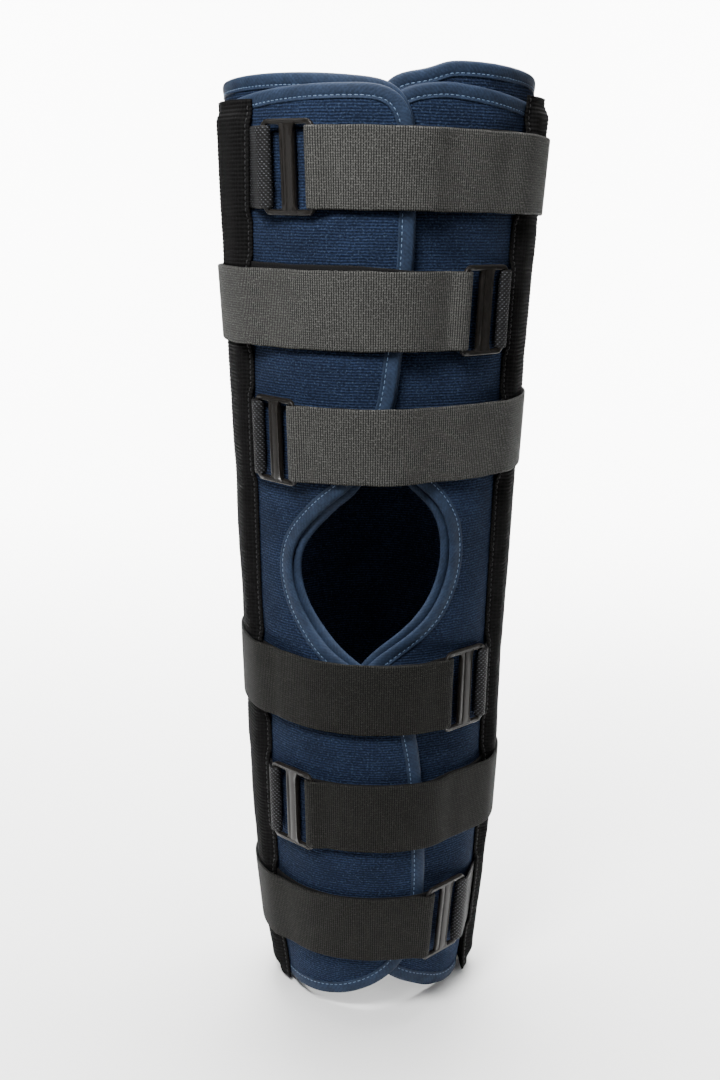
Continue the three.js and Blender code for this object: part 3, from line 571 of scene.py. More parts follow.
def tube(rings, lay, ends=True):
    """A solid from closed cross-sections, rings by points by 3; without ends its faces have four sides."""
    rows, columns = rings.shape[:2]
    vertices, lay = rings.reshape(-1, 3), lay.reshape(-1, 3)
    i = np.arange(rows - 1)[:, None] * columns
    k = np.arange(columns)
    after = (k + 1) % columns
    sides = i + k, i + columns + k, i + columns + after, i + after
    faces = np.stack(sides, -1).reshape(-1, 4)
    if ends:
        first = np.full(columns, rows * columns)
        base = (rows - 1) * columns
        start = np.stack([k, after, first, first], 1)
        end = np.stack([base + after, base + k, first + 1, first + 1], 1)
        vertices = np.concatenate([vertices, [rings[0].mean(0), rings[-1].mean(0)]])
        lay = np.concatenate([lay, lay[[0, -1]]])
        faces = split(np.concatenate([faces, start, end]))
    return vertices, faces, lay


def pinch(distance, layers):
    """Share of its thickness that the cloth keeps at a distance from its edge."""
    held = 0.66 + 0.34 * smooth(distance, layers.binding - 2, layers.binding + 5)
    return held - 0.12 * np.exp(-((distance - (layers.binding - STITCH_BACK)) / 0.9) ** 2)


def padded_sheet(outline, floor, swell, layers, spacing):
    """The padded cloth inside an outline: its ply is pinched where the tape holds it."""
    normals = inward_normals(outline)
    rings = [1.2, 4.5, layers.binding - 0.6, layers.binding + 1, layers.binding + 3, layers.binding + 6]
    loops = [moved_in(outline, normals, d) for d in rings]
    flat = np.concatenate(loops)
    away = np.repeat(rings, len(outline))
    tree = kdtree.KDTree(len(outline))
    for i, (turn, height) in enumerate(outline):
        tree.insert((turn * PER_DEGREE, height, 0), i)
    tree.balance()
    low, high = outline.min(0), outline.max(0)
    inner, inner_away = [], []
    for j, height in enumerate(np.arange(low[1], high[1], spacing * 0.87)):
        for turn in np.arange(low[0] + (j % 2) * spacing / 2 / PER_DEGREE, high[0], spacing / PER_DEGREE):
            _, nearest, _ = tree.find((turn * PER_DEGREE, height, 0))
            gap = outline[nearest] - (turn, height)
            distance = math.hypot(gap[0] * PER_DEGREE, gap[1])
            if distance > rings[-1] + spacing * 0.6:
                inner.append((turn, height))
                inner_away.append(distance)
    inside = [contains(loops[-1], *place) for place in inner]
    flat = np.concatenate([flat, np.array(inner)[inside]])
    away = np.concatenate([away, np.array(inner_away)[inside]])
    places = [Vector((turn * PER_DEGREE, height)) for turn, height in flat]
    loop = list(range(len(outline)))
    out, _, triangles, *_ = delaunay_2d_cdt(places, [], [loop], 1, 1e-4)
    if len(out) != len(places):
        raise RuntimeError("the cloth's outline crosses itself")
    triangles = np.array(triangles)
    turn, height = flat[:, 0], flat[:, 1]
    middle = floor(turn, height) + layers.ply / 2
    half = layers.ply / 2 * pinch(away, layers)
    loft = swell(turn, height, away)
    top = placed(turn, height, middle + half + loft)
    bottom = placed(turn, height, middle - half)
    n = len(flat)
    lay = np.stack([length_of(turn, height), height, np.zeros(n)], 1)
    rim = split(np.array([(i, (i + 1) % len(loop), (i + 1) % len(loop) + n, i + n) for i in loop]))
    corners = flat[triangles]
    area = np.cross(corners[:, 1] - corners[:, 0], corners[:, 2] - corners[:, 0])
    triangles[area < 0] = triangles[area < 0][:, ::-1]
    if turning(outline) > 0:
        rim = rim[:, ::-1]
    faces = np.concatenate([triangles, triangles[:, ::-1] + n, rim])
    return np.concatenate([top, bottom]), faces, np.concatenate([lay, lay + (0, 0, 5)])


def bias_tape(outline, floor, layers, tape):
    """Bias tape folded over a cloth's edge, swept along its outline."""
    w = layers.binding
    # distance from the cloth's edge, and height over the ply
    over = [
        (w + 0.25, 0.1), (w + 0.1, tape * 0.95), (w - 0.6, tape), (w - 1.2, tape * 0.8),
        (w - STITCH_BACK, tape * TAPE_SWELL),
        (w - 2.4, tape * 0.85), (w - 3.6, tape * 1.15), (w * 0.4, tape * 1.25), (w * 0.22, tape * 1.1),
        (0.9, tape * 0.75), (0.35, tape * 0.1),
    ]
    # near its fold the tape closes in
    near_fold = {0.9: 0.86, 0.35: 0.68}
    normals = inward_normals(outline)
    profile = []
    for d, lift in over:
        half = layers.ply / 2 * float(pinch(np.array(d), layers)) + lift
        profile.append((d, half * near_fold.get(d, 1)))
    profile = profile + [(0.0, 0.0)] + [(d, -h) for d, h in reversed(profile)]
    rings, lays = [], []
    along = run_along(flat_steps(outline))[:-1]
    ease = 1 + 0.05 * np.sin(along / 7.3) + 0.04 * np.sin(along / 3.1 + 1)
    for d, h in profile:
        line = moved_in(outline, normals, d)
        middle = floor(line[:, 0], line[:, 1]) + layers.ply / 2
        rings.append(placed(line[:, 0], line[:, 1], middle + h * ease))
        lays.append(np.stack(np.broadcast_arrays(along, d, h), 1))
    rings, lays = np.stack(rings, 1), np.stack(lays, 1)
    # closed by its first ring again, whose points are then left out
    vertices, faces, lay = tube(*(np.concatenate([rows, rows[:1]]) for rows in (rings, lays)), ends=False)
    keep = len(vertices) - len(profile)
    return vertices[:keep], np.where(faces >= keep, faces - keep, faces), lay[:keep]


def stitch_row(line, normals, back, rise_at, pitch, radius, closed=True):
    """Separate stitches along a line, each one sunk at both ends."""
    track = moved_in(line, normals, back)
    points = placed(track[:, 0], track[:, 1], rise_at(track))
    up = placed(track[:, 0], track[:, 1], rise_at(track) + 1) - points
    if closed:
        points = np.concatenate([points, points[:1]])
        up = np.concatenate([up, up[:1]])
    at = run_along(np.diff(points, axis=0))
    count = int(at[-1] / pitch)
    # each stitch has five rings of six points: places along it, heights and radii
    shares = np.array([0, 0.12, 0.35, 0.6, 0.72])
    arch = np.array([-0.7, 0.35, 0.8, 0.35, -0.7]) * radius
    girth = np.array([[0.5], [0.95], [1.0], [0.95], [0.5]]) * radius
    angle = np.linspace(0, 2 * math.pi, 6, endpoint=False)
    places = (np.arange(count)[:, None] + shares) * pitch
    centre, out = (
        np.stack([np.interp(places, at, rows[:, k]) for k in range(3)], -1) for rows in (points, up))
    ahead = unit(centre[:, -1] - centre[:, 0])
    across = unit(np.cross(ahead[:, None, :], out))
    centre += out * arch[:, None]
    sideways, upwards = girth * np.cos(angle), girth * np.sin(angle) * 0.8
    ring = (centre[:, :, None] + across[:, :, None] * sideways[..., None]
            + out[:, :, None] * upwards[..., None])
    one, face, _ = tube(ring[0], np.zeros(ring[0].shape))
    caps = ring[:, [0, -1]].mean(2)
    vertices = np.concatenate([ring.reshape(count, -1, 3), caps], 1).reshape(-1, 3)
    faces = (face + len(one) * np.arange(count)[:, None, None]).reshape(-1, 3)
    return vertices, faces, vertices.copy()


# Webbing

def cloth_top(layers, outlines, turn, height):
    """Rise of the bare cloth's outside at a place."""
    if contains(outlines["left"], turn, height):
        return layers.left_floor(turn, height) + layers.ply
    if contains(outlines["wrap"], turn + 360, height):
        return layers.left_lift(turn, height) + layers.ply
    if contains(outlines["right"], turn, height):
        return layers.right_floor(turn, height) + layers.ply
    return layers.right_sink(turn, height) + layers.ply


def drape(height_at, height, column):
    """Turns and rises of a taut band over what lies under it: it leaves a step at a limited slope."""
    turns = np.arange(-160, 160 + column / 2, column)
    raw = [max(float(height_at(turn + k * column)) for k in (-1, -0.5, 0, 0.5, 1)) for turn in turns]
    run = float(length_of(column, height))
    apart = np.abs(turns[:, None] - turns[None, :]) / column
    return turns, np.max(np.array(raw) - SLOPE * run * apart, axis=1)


CREASE_SPREAD = 2.2  # degrees
CREASE_SINK = 0.3  # the most that a crease goes in
# Soft creases where a taut strap passes a flap's edge, for each strap: turn and depth
CREASES = [[(18, 0.9), (47, -0.7)], [(-48, 0.6)], [], [(-44, 0.9), (-34, -0.6)], [], [(-30, 0.5)]]


class StrapPath:
    """Where one strap, its tab and its buckle lie."""

    def __init__(self, row, creases, layers, outlines, cloth, webbing, buckle):
        self.row = row
        self.creases = creases
        self.layers = layers
        self.pocket = cloth.pocket * 1000
        self.width = webbing.width * 1000
        self.webbing = webbing.thickness * 1000
        self.height = strap_height(row, self.width)
        self.side = int(np.sign(row[2]))
        self.near, self.far = ("left", "right") if self.side < 0 else ("right", "left")
        self.thick = buckle.thickness * 1000
        self.outer_bar = buckle.outer_bar * 1000
        self.buckle_width = 2 * (buckle.outer_bar + buckle.slot) * 1000 + buckle.centre_bar * 1000
        self.bar_edge = self.buckle_width / 2 - self.outer_bar
        levels = np.linspace(-0.5, 0.5, 5) * self.width
        store = {}

        def bare(turn):
            key = round(float(turn), 3)
            if key not in store:
                store[key] = max(float(cloth_top(layers, outlines, turn, self.height + z)) for z in levels)
            return store[key]

        self.bare = bare
        coarse = drape(bare, self.height, 10)
        fine = drape(bare, self.height, 2)
        self.fine = (fine[0], np.maximum(rounded(fine[1]), fine[1] - 0.2) + GAP)
        lie = lambda turn: np.interp(turn, coarse[0], coarse[1] + GAP)
        middle = float(turn_of(row[2] * THIGH_WIDTH, self.height))
        self.outside = float(section(self.height)[2]) + float(lie(middle))
        spread = math.degrees(self.bar_edge / self.outside)
        rise = lambda turn: float(lie(turn)) + self.webbing + GAP + self.thick / 2
        self.ends = [middle - spread, middle + spread]
        bars = [placed(turn, self.height, rise(turn)) for turn in self.ends]
        ends = [placed(middle, self.height + k * self.width / 2, rise(middle)) for k in (1, -1)]
        up = ends[0] - ends[1]
        right = unit(bars[1] - bars[0])
        out = unit(np.cross(right, unit(up)))
        self.axes = np.stack([right, np.cross(out, right), out])
        self.centre = (bars[0] + bars[1]) / 2
        self.round = self.thick / 2 + GAP + self.webbing / 2

    def held(self, x, z):
        """Edges of the webbing at a place in the buckle's own axes."""
        return [self.centre + np.array([x, y, z]) @ self.axes for y in (self.width / 2, -self.width / 2)]

    def bend(self, k, count=14):
        """Edges of the webbing as it turns round the bar on one side, from under it to above."""
        edges = []
        for i in range(count + 1):
            turn = -math.pi / 2 + math.pi * i / count
            out = self.bar_edge - math.cos(turn) * self.round
            edges.append(self.held(k * out, math.sin(turn) * self.round))
        for share in (0.35, 0.7, 1):
            edges.append(self.held(k * (self.bar_edge + share * (self.outer_bar + GAP)), self.round))
        return edges

    def station(self, turn, rise, shift):
        """Edges of the webbing at a place round the brace, moved up by a shift."""
        heights = self.height + shift + np.array([0.5, -0.5]) * self.width
        return [placed(turn, height, rise + self.webbing / 2) for height in heights]

    def strap_edges(self):
        side, height = self.side, self.height
        far_bar = self.ends[1] if side < 0 else self.ends[0]
        root = float(pocket_turn(self.far, ROOT_UNDER_POCKET, height))
        tail = float(pocket_turn(self.far, POCKET_WIDTH + TAIL_PAST_POCKET, height))
        front = abs(float(pocket_turn(self.far, 0, height)))
        back = abs(float(pocket_turn(self.far, POCKET_WIDTH, height)))
        lie = lambda turn: float(np.interp(turn, *self.fine))
        shift_at = lambda turn: self.row[4] * self.width * float(smooth(abs(turn - far_bar), 15, 40))
        sink = self.layers.right_sink if self.far == "right" else self.layers.left_lift
        under = lambda turn: (turn - root) * (turn - far_bar) < 0

        def upper_bare(turn):
            pocket = 0.0
            if front < abs(turn) < back and turn * side < 0:
                pocket = float(sink(turn, height)) + self.layers.pocket_floor + self.pocket
            return max(pocket, lie(turn) + (self.webbing if under(turn) else -GAP))

        turns, tops = drape(upper_bare, height, 2)
        tops = rounded(tops) + GAP
        direction = np.sign(far_bar - root)
        edges = []
        for turn in np.arange(root, far_bar - direction * 3, direction * 1.2):
            hidden = turn * side < 0 and abs(turn) > front
            edges.append(self.station(turn, self.bare(turn) + GAP if hidden else lie(turn), shift_at(turn)))
        edges += self.bend(-side)
        back_from = far_bar - side * math.degrees((self.outer_bar + STRAP_RETURN) / self.outside)
        for turn in np.append(np.arange(back_from, tail, np.sign(tail - back_from) * 1.2), tail):
            climb = self.row[3] * self.width * ((turn - far_bar) / (tail - far_bar)) ** 2
            crease = sum(depth * math.exp(-((turn - place) / CREASE_SPREAD) ** 2)
                         for place, depth in self.creases)
            top = float(np.interp(turn, turns, tops)) + max(crease, -CREASE_SINK)
            edges.append(self.station(turn, top, climb))
        return np.array(edges)

    def tab_edges(self):
        side, height = self.side, self.height
        root = float(pocket_turn(self.near, ROOT_UNDER_POCKET, height))
        front = float(pocket_turn(self.near, 0, height)) - side * math.degrees(self.webbing / self.outside)
        edges = [self.station(turn, self.bare(turn) + GAP, 0) for turn in np.linspace(root, front, 14)]
        edges += self.bend(side)[::-1]
        edges.append(self.held(side * self.buckle_width / 2, -self.round))
        return np.array(edges)


BAND_STEP = 1.3  # from one cross-section of the webbing to the next
BAND_ROUND = 7.0  # stretch in which a free end is rounded


def band(edges, thickness, rounded_end, seed):
    """Webbing along two edge lines, with rolled edges; edges is points by 2 by 3."""
    middle = edges.mean(1)
    at = run_along(np.diff(middle, axis=0))
    places = np.linspace(0, at[-1], int(at[-1] / BAND_STEP))
    lines = np.stack([np.interp(places, at, edges[:, j, k]) for j in (0, 1) for k in range(3)], 1)
    for _ in range(6):
        lines[1:-1] = (lines[:-2] + 2 * lines[1:-1] + lines[2:]) / 4
    high, low = lines[:, :3], lines[:, 3:]
    centre = (high + low) / 2
    half = (high - low) / 2
    across = unit(half)
    normal = unit(np.cross(unit(np.gradient(centre, axis=0)), across))
    width = np.linalg.norm(half, axis=1)
    t = thickness / 2
    # share of the half width, and height, over the face and round one rolled edge
    face = [(share, t) for share in (-0.9, -0.7, -0.4, 0, 0.4, 0.7, 0.9)]
    face = [(-0.97, 0.93 * t), *face, (0.97, 0.93 * t)]
    edge = [(0.992, 0.55 * t), (1.0, 0.0), (0.992, -0.55 * t)]
    profile = face + edge + [(s, -h) for s, h in reversed(face)] + [(-s, -h) for s, h in edge]
    if rounded_end:
        last = np.clip((places - places[-1]) / BAND_ROUND + 1, 0, 1)
        width = width * (1 - 0.16 * (1 - np.sqrt(1 - last ** 2)))
    wander = 0.16 * np.sin(places / 9 + seed) + 0.1 * np.sin(places / 4.1 + 2 * seed)
    rings, lays = [], []
    for share, h in profile:
        out = share * width + wander * (abs(share) > 0.85) * np.sign(share)
        rings.append(centre + across * out[:, None] + normal * h)
        lays.append(np.stack(np.broadcast_arrays(places, share * float(width[0]), np.sign(h)), 1))
    return tube(np.stack(rings, 1), np.stack(lays, 1))


# Materials

MIX, MAP, MATH = "ShaderNodeMix", "ShaderNodeMapRange", "ShaderNodeMath"
NOISE, WAVES = "ShaderNodeTexNoise", "ShaderNodeTexWave"
WAVE_PITCH = math.pi / 10  # a wave texture's scale for a pitch of 1 mm


def add(tree, kind, links=None, out=0, **settings):
    """Add a node with its settings and inputs, sockets or plain values, and give one of its outputs."""
    new = tree.nodes.new(kind)
    for key, value in settings.items():
        setattr(new, key, value)
    for key, value in (links or {}).items():
        if isinstance(value, bpy.types.NodeSocket):
            tree.links.new(value, new.inputs[key])
        else:
            new.inputs[key].default_value = value
    return new.outputs[out] if out is not None else new.outputs


def start_material(name):
    """The material with its nodes cleared, so that every piece of it shares one finish."""
    finish = bpy.data.materials.get(name) or bpy.data.materials.new(name)
    finish.use_nodes = True
    tree = finish.node_tree
    tree.nodes.clear()
    return finish, tree, add(tree, "ShaderNodeAttribute", attribute_name="lay", out="Vector")


def tinted(tree, base, tints):
    """Colours over a first one, where each row says how much of its colour lies there: a texture,
    a low and a high value of it, the colour's share at each of them, and the colour."""
    for texture, low, high, at_low, at_high, rgb in tints:
        share = add(tree, MAP, {0: texture, 1: low, 2: high, 3: at_low, 4: at_high})
        base = add(tree, MIX, {0: share, 6: base, 7: rgb}, 2, data_type="RGBA")
    return base


def finish_with(finish, base, rough, height, depth, **sockets):
    """Join the colour, roughness and relief to the shader; depth is the relief in millimetres."""
    tree = finish.node_tree
    bump = add(tree, "ShaderNodeBump", {"Strength": 1.0, "Distance": depth / 1000, "Height": height})
    shader = add(tree, "ShaderNodeBsdfPrincipled",
                 {"Base Color": base, "Roughness": rough, "Normal": bump, **sockets})
    add(tree, "ShaderNodeOutputMaterial", {0: shader}, None)
    return finish


def shade(rgb, factor):
    """A darker or paler colour, with alpha."""
    return (*[min(c * factor, 1) for c in rgb], 1)


def brushed_loop_knit(cloth):
    """Nylon loop knit laminated to foam and brushed: a dull nap over fine ribs, their grooves darkened as
    painted shade, with pale fibre ends.
    """
    finish, tree, lay = start_material("brushed_loop_knit_on_foam")
    rgb = cloth.cloth_colour
    # ribs wander a little, as the knit was brushed and then stretched
    ribs = add(tree, WAVES, {"Vector": lay, "Scale": WAVE_PITCH / (cloth.rib * 1000), "Distortion": 1.6,
                             "Detail": 1, "Detail Scale": 0.5}, 1, bands_direction="Y")
    nap = add(tree, NOISE, {"Vector": lay, "Scale": 0.035, "Detail": 3})
    fuzz = add(tree, NOISE, {"Vector": lay, "Scale": 0.7, "Detail": 3})
    # fibre ends are finer than a pixel, so they are drawn about 1 mm wide
    ends = add(tree, NOISE, {"Vector": lay, "Scale": 0.8, "Detail": 2})
    base = tinted(tree, shade(rgb, 0.85), [
        (nap, 0.35, 0.65, 0, 1, shade(rgb, 1.3)),
        # painted shade: the ribs' grooves are darkened, over the same ribs' bump
        (ribs, 0.25, 0.9, 0, 0.75, shade(rgb, 0.22)),
        (fuzz, 0.38, 0.58, 0.7, 0, shade(rgb, 0.25)),
        (ends, 0.56, 0.72, 0, 0.45, shade(cloth.thread_colour, 0.45)),
    ])
    height = add(tree, MATH, {0: ribs, 1: -0.5, 2: fuzz}, operation="MULTIPLY_ADD")
    return finish_with(finish, base, 0.95, height, 0.35, **{"Specular IOR Level": 0.08})


def knitted_bias_tape(cloth):
    """Polyester bias tape, knitted smooth: a soft gleam on the fold and a paler blue than the cloth."""
    finish, tree, lay = start_material("knitted_bias_tape")
    rgb = cloth.tape_colour
    twill = add(tree, WAVES, {"Vector": lay, "Scale": WAVE_PITCH / 1.5, "Distortion": 0.8}, 1,
                bands_direction="DIAGONAL")
    soft = add(tree, NOISE, {"Vector": lay, "Scale": 0.12, "Detail": 2})
    grain = add(tree, NOISE, {"Vector": lay, "Scale": 0.8, "Detail": 2})
    base = tinted(tree, shade(rgb, 0.75), [
        (soft, 0.3, 0.7, 0, 1, shade(rgb, 1.15)),
        (twill, 0, 1, 0, 0.3, shade(rgb, 0.4)),
        (grain, 0.35, 0.6, 0.45, 0, shade(rgb, 0.35)),
    ])
    height = add(tree, MATH, {0: twill, 1: 0.35, 2: grain}, operation="MULTIPLY_ADD")
    return finish_with(finish, base, 0.75, height, 0.14, **{"Specular IOR Level": 0.2})


def polyester_thread(name, rgb):
    """Twisted polyester sewing thread: small stitches with a faint gleam."""
    finish, tree, lay = start_material(name)
    twist = add(tree, NOISE, {"Vector": lay, "Scale": 1.5, "Detail": 2})
    base = tinted(tree, shade(rgb, 0.5), [(twist, 0.35, 0.65, 0, 1, shade(rgb, 1.0))])
    return finish_with(finish, base, 0.6, twist, 0.08, **{"Specular IOR Level": 0.3})


def ribbed_sleeve_cloth(cloth):
    """Black elastic sleeve cloth, woven with cross ribs: dull and fuzzy, with grey lint on the ribs, and
    painted light and shade on the ribs.
    """
    finish, tree, lay = start_material("ribbed_black_sleeve_cloth")
    rgb = cloth.pocket_colour
    rib = WAVE_PITCH / (cloth.pocket_rib * 1000)
    ribs = add(tree, WAVES, {"Vector": lay, "Scale": rib, "Distortion": 1.0,
                             "Detail": 1, "Detail Scale": 0.4}, 1, bands_direction="Y")
    warp = add(tree, WAVES, {"Vector": lay, "Scale": WAVE_PITCH / 1.9, "Distortion": 2.0,
                             "Detail": 2, "Detail Scale": 0.8}, 1, bands_direction="X")
    lint = add(tree, NOISE, {"Vector": lay, "Scale": 0.8, "Detail": 2})
    worn = add(tree, NOISE, {"Vector": lay, "Scale": 0.05, "Detail": 3})
    base = tinted(tree, shade(rgb, 0.4), [
        # painted light and shade: rib tops paler and grooves darker, over the ribs' own relief
        (ribs, 0, 1, 0, 1, shade(rgb, 1.3)),
        (warp, 0.5, 0.95, 0, 0.45, shade(rgb, 2.2)),
        (worn, 0.35, 0.7, 0, 0.35, shade(rgb, 1.8)),
        (lint, 0.6, 0.75, 0, 0.35, shade(rgb, 8.0)),
    ])
    relief = add(tree, MATH, {0: lint, 1: 0.6, 2: ribs}, operation="MULTIPLY_ADD")
    return finish_with(finish, base, 0.97, relief, 0.3, **{"Specular IOR Level": 0.08})


def woven_webbing(name, webbing, rgb):
    """Polyester hook-and-loop strap, woven close: a dull grid of thread tops, with painted shade in the gaps
    between them, and black brushed loop on its other side."""
    finish, tree, lay = start_material(name)
    # the real threads are about 0.8 mm apart, too fine to show, so the grid is drawn coarser
    grid = {"Vector": lay, "Scale": WAVE_PITCH / (webbing.pick * 1000), "Distortion": 0.5, "Detail": 1}
    weft = add(tree, WAVES, grid, 1, bands_direction="X")
    warp = add(tree, WAVES, grid, 1, bands_direction="Y")
    fleck = add(tree, NOISE, {"Vector": lay, "Scale": 0.9, "Detail": 1})
    tone = add(tree, NOISE, {"Vector": lay, "Scale": 0.04, "Detail": 2})
    # the lay's third value is below 0 on the loop side
    side = add(tree, "ShaderNodeSeparateXYZ", {0: lay}, "Z")
    base = tinted(tree, shade(rgb, 1.2), [
        (tone, 0.3, 0.7, 0, 1, shade(rgb, 1.55)),
        # painted shade: darker between the weft threads and where the warp passes below them
        (weft, 0.15, 0.7, 1, 0, shade(rgb, 0.1)),
        (warp, 0.1, 0.6, 0.6, 0, shade(rgb, 0.35)),
        (fleck, 0.54, 0.7, 0, 0.5, shade(rgb, 2.4)),
        (side, 0.2, -0.2, 0, 1, shade(webbing.pile_colour, 1)),
    ])
    height = add(tree, MATH, {0: weft, 1: warp}, operation="MULTIPLY")
    return finish_with(finish, base, 0.88, height, 0.2, **{"Specular IOR Level": 0.15})


def twill_webbing(webbing):
    """Nylon tab webbing, woven in a twill: black, with bright thread tops in slanting rows."""
    finish, tree, lay = start_material("twill_tab_webbing")
    rgb = webbing.tab_colour
    # a thread top is about 0.8 mm long in the real twill; drawn at twice that to be seen
    slant = add(tree, WAVES, {"Vector": lay, "Scale": WAVE_PITCH / 1.5, "Distortion": 0.8}, 1,
                bands_direction="DIAGONAL")
    thread = add(tree, WAVES, {"Vector": lay, "Scale": WAVE_PITCH / 1.4, "Distortion": 0.6}, 1,
                 bands_direction="Y")
    patchy = add(tree, NOISE, {"Vector": lay, "Scale": 0.3, "Detail": 2})
    tops = add(tree, MATH, {0: slant, 1: thread}, operation="MULTIPLY")
    bright = add(tree, MAP, {0: tops, 1: 0.62, 2: 0.92})
    broken = add(tree, MAP, {0: patchy, 1: 0.35, 2: 0.6, 3: 0.25, 4: 0.9})
    share = add(tree, MATH, {0: bright, 1: broken}, operation="MULTIPLY")
    base = tinted(tree, shade(rgb, 0.5), [
        (slant, 0, 1, 0, 1, shade(rgb, 1.2)),
        (share, 0, 1, 0, 1, shade(webbing.fleck_colour, 0.4)),
    ])
    return finish_with(finish, base, 0.75, tops, 0.25, **{"Specular IOR Level": 0.25})


def moulded_acetal(buckle):
    """Black acetal, injection moulded: smooth and waxy, with clear highlights and faint handling marks."""
    finish, tree, lay = start_material("moulded_black_acetal")
    rgb = buckle.plastic_colour
    marks = add(tree, NOISE, {"Vector": lay, "Scale": 0.35, "Detail": 4})
    fine = add(tree, NOISE, {"Vector": lay, "Scale": 2.4, "Detail": 2})
    base = tinted(tree, shade(rgb, 0.85), [(marks, 0.35, 0.65, 0, 1, shade(rgb, 1.25))])
    rough = add(tree, MAP, {0: marks, 1: 0.3, 2: 0.7, 3: 0.3, 4: 0.42})
    return finish_with(finish, base, rough, fine, 0.01, **{"IOR": 1.48, "Specular IOR Level": 0.2})


def matt_paper(studio):
    """Matt pale paper roll, with the slightest unevenness."""
    finish, tree, _ = start_material("matt_studio_paper")
    place = add(tree, "ShaderNodeTexCoord", out="Object")
    tone = add(tree, NOISE, {"Vector": place, "Scale": 1.5, "Detail": 2})
    rgb = studio.floor_colour
    base = tinted(tree, shade(rgb, 0.98), [(tone, 0, 1, 0, 1, shade(rgb, 1.0))])
    return finish_with(finish, base, 0.9, tone, 0.05)


# Operators

def settings():
    scene = bpy.context.scene
    return scene.knee_cloth, scene.knee_webbing, scene.knee_buckle, scene.knee_studio


def outlines_of(layers):
    return {
        "wrap": evenly(wrap_outline(layers), 3.0, 3),
        "left": evenly(panel_outline("left", layers), 3.0, 5),
        "right": evenly(panel_outline("right", layers), 3.0, 5),
    }


def bound_cloth(name, outline, floor, seed, spacing):
    """A padded cloth with its tape and stitches, as two pieces; only one with a seed swells."""
    cloth, webbing, _, _ = settings()
    layers = Layers(cloth, webbing)
    width = webbing.width * 1000

    def swell(turn, height, away):
        if seed is None:
            return np.zeros_like(turn)
        free = free_of_straps(height, width) * free_of_pockets(turn, height)
        inside = smooth(away, layers.binding + 1, layers.binding + 16)
        level = 0.6 + 1.3 * rumple(turn, height, seed)
        return free * inside * level

    body = padded_sheet(outline, floor, swell, layers, spacing)
    sheet = make_piece(f"{name}_cloth", [(*body, 0)], [brushed_loop_knit(cloth)], [name])
    tape = cloth.tape * 1000
    fold = bias_tape(outline, floor, layers, tape)
    back = layers.binding - STITCH_BACK
    half = layers.ply / 2 * float(pinch(np.array(back), layers)) + tape * TAPE_SWELL
    rise_at = lambda line: floor(line[:, 0], line[:, 1]) + layers.ply / 2 + half
    stitches = stitch_row(outline, inward_normals(outline), back, rise_at, cloth.stitch * 1000, TAPE_STITCH)
    edge = make_piece(
        f"{name}_tape", [(*fold, 0), (*stitches, 1)],
        [knitted_bias_tape(cloth), polyester_thread("pale_thread", cloth.thread_colour)],
        [f"{name}_binding"])


class KNEEBRACE_OT_wrap(bpy.types.Operator):
    """Make the padded wrap that goes right round, with its binding"""

    bl_idname = "knee_brace.wrap"
    bl_label = "Make Wrap"

    def execute(self, context):
        layers = Layers(*settings()[:2])
        outline = outlines_of(layers)["wrap"]
        bound_cloth("wrap", outline, layers.wrap_floor, None, 6.0)
        return {"FINISHED"}


class KNEEBRACE_OT_side_panels(bpy.types.Operator):
    """Make the outer padded panel of each side, with its binding"""

    bl_idname = "knee_brace.side_panels"
    bl_label = "Make Side Panels"

    def execute(self, context):
        layers = Layers(*settings()[:2])
        outlines = outlines_of(layers)
        bound_cloth("left_panel", outlines["left"], layers.left_floor, 11.0, 4.0)
        bound_cloth("right_panel", outlines["right"], layers.right_floor, 17.0, 4.0)
        return {"FINISHED"}


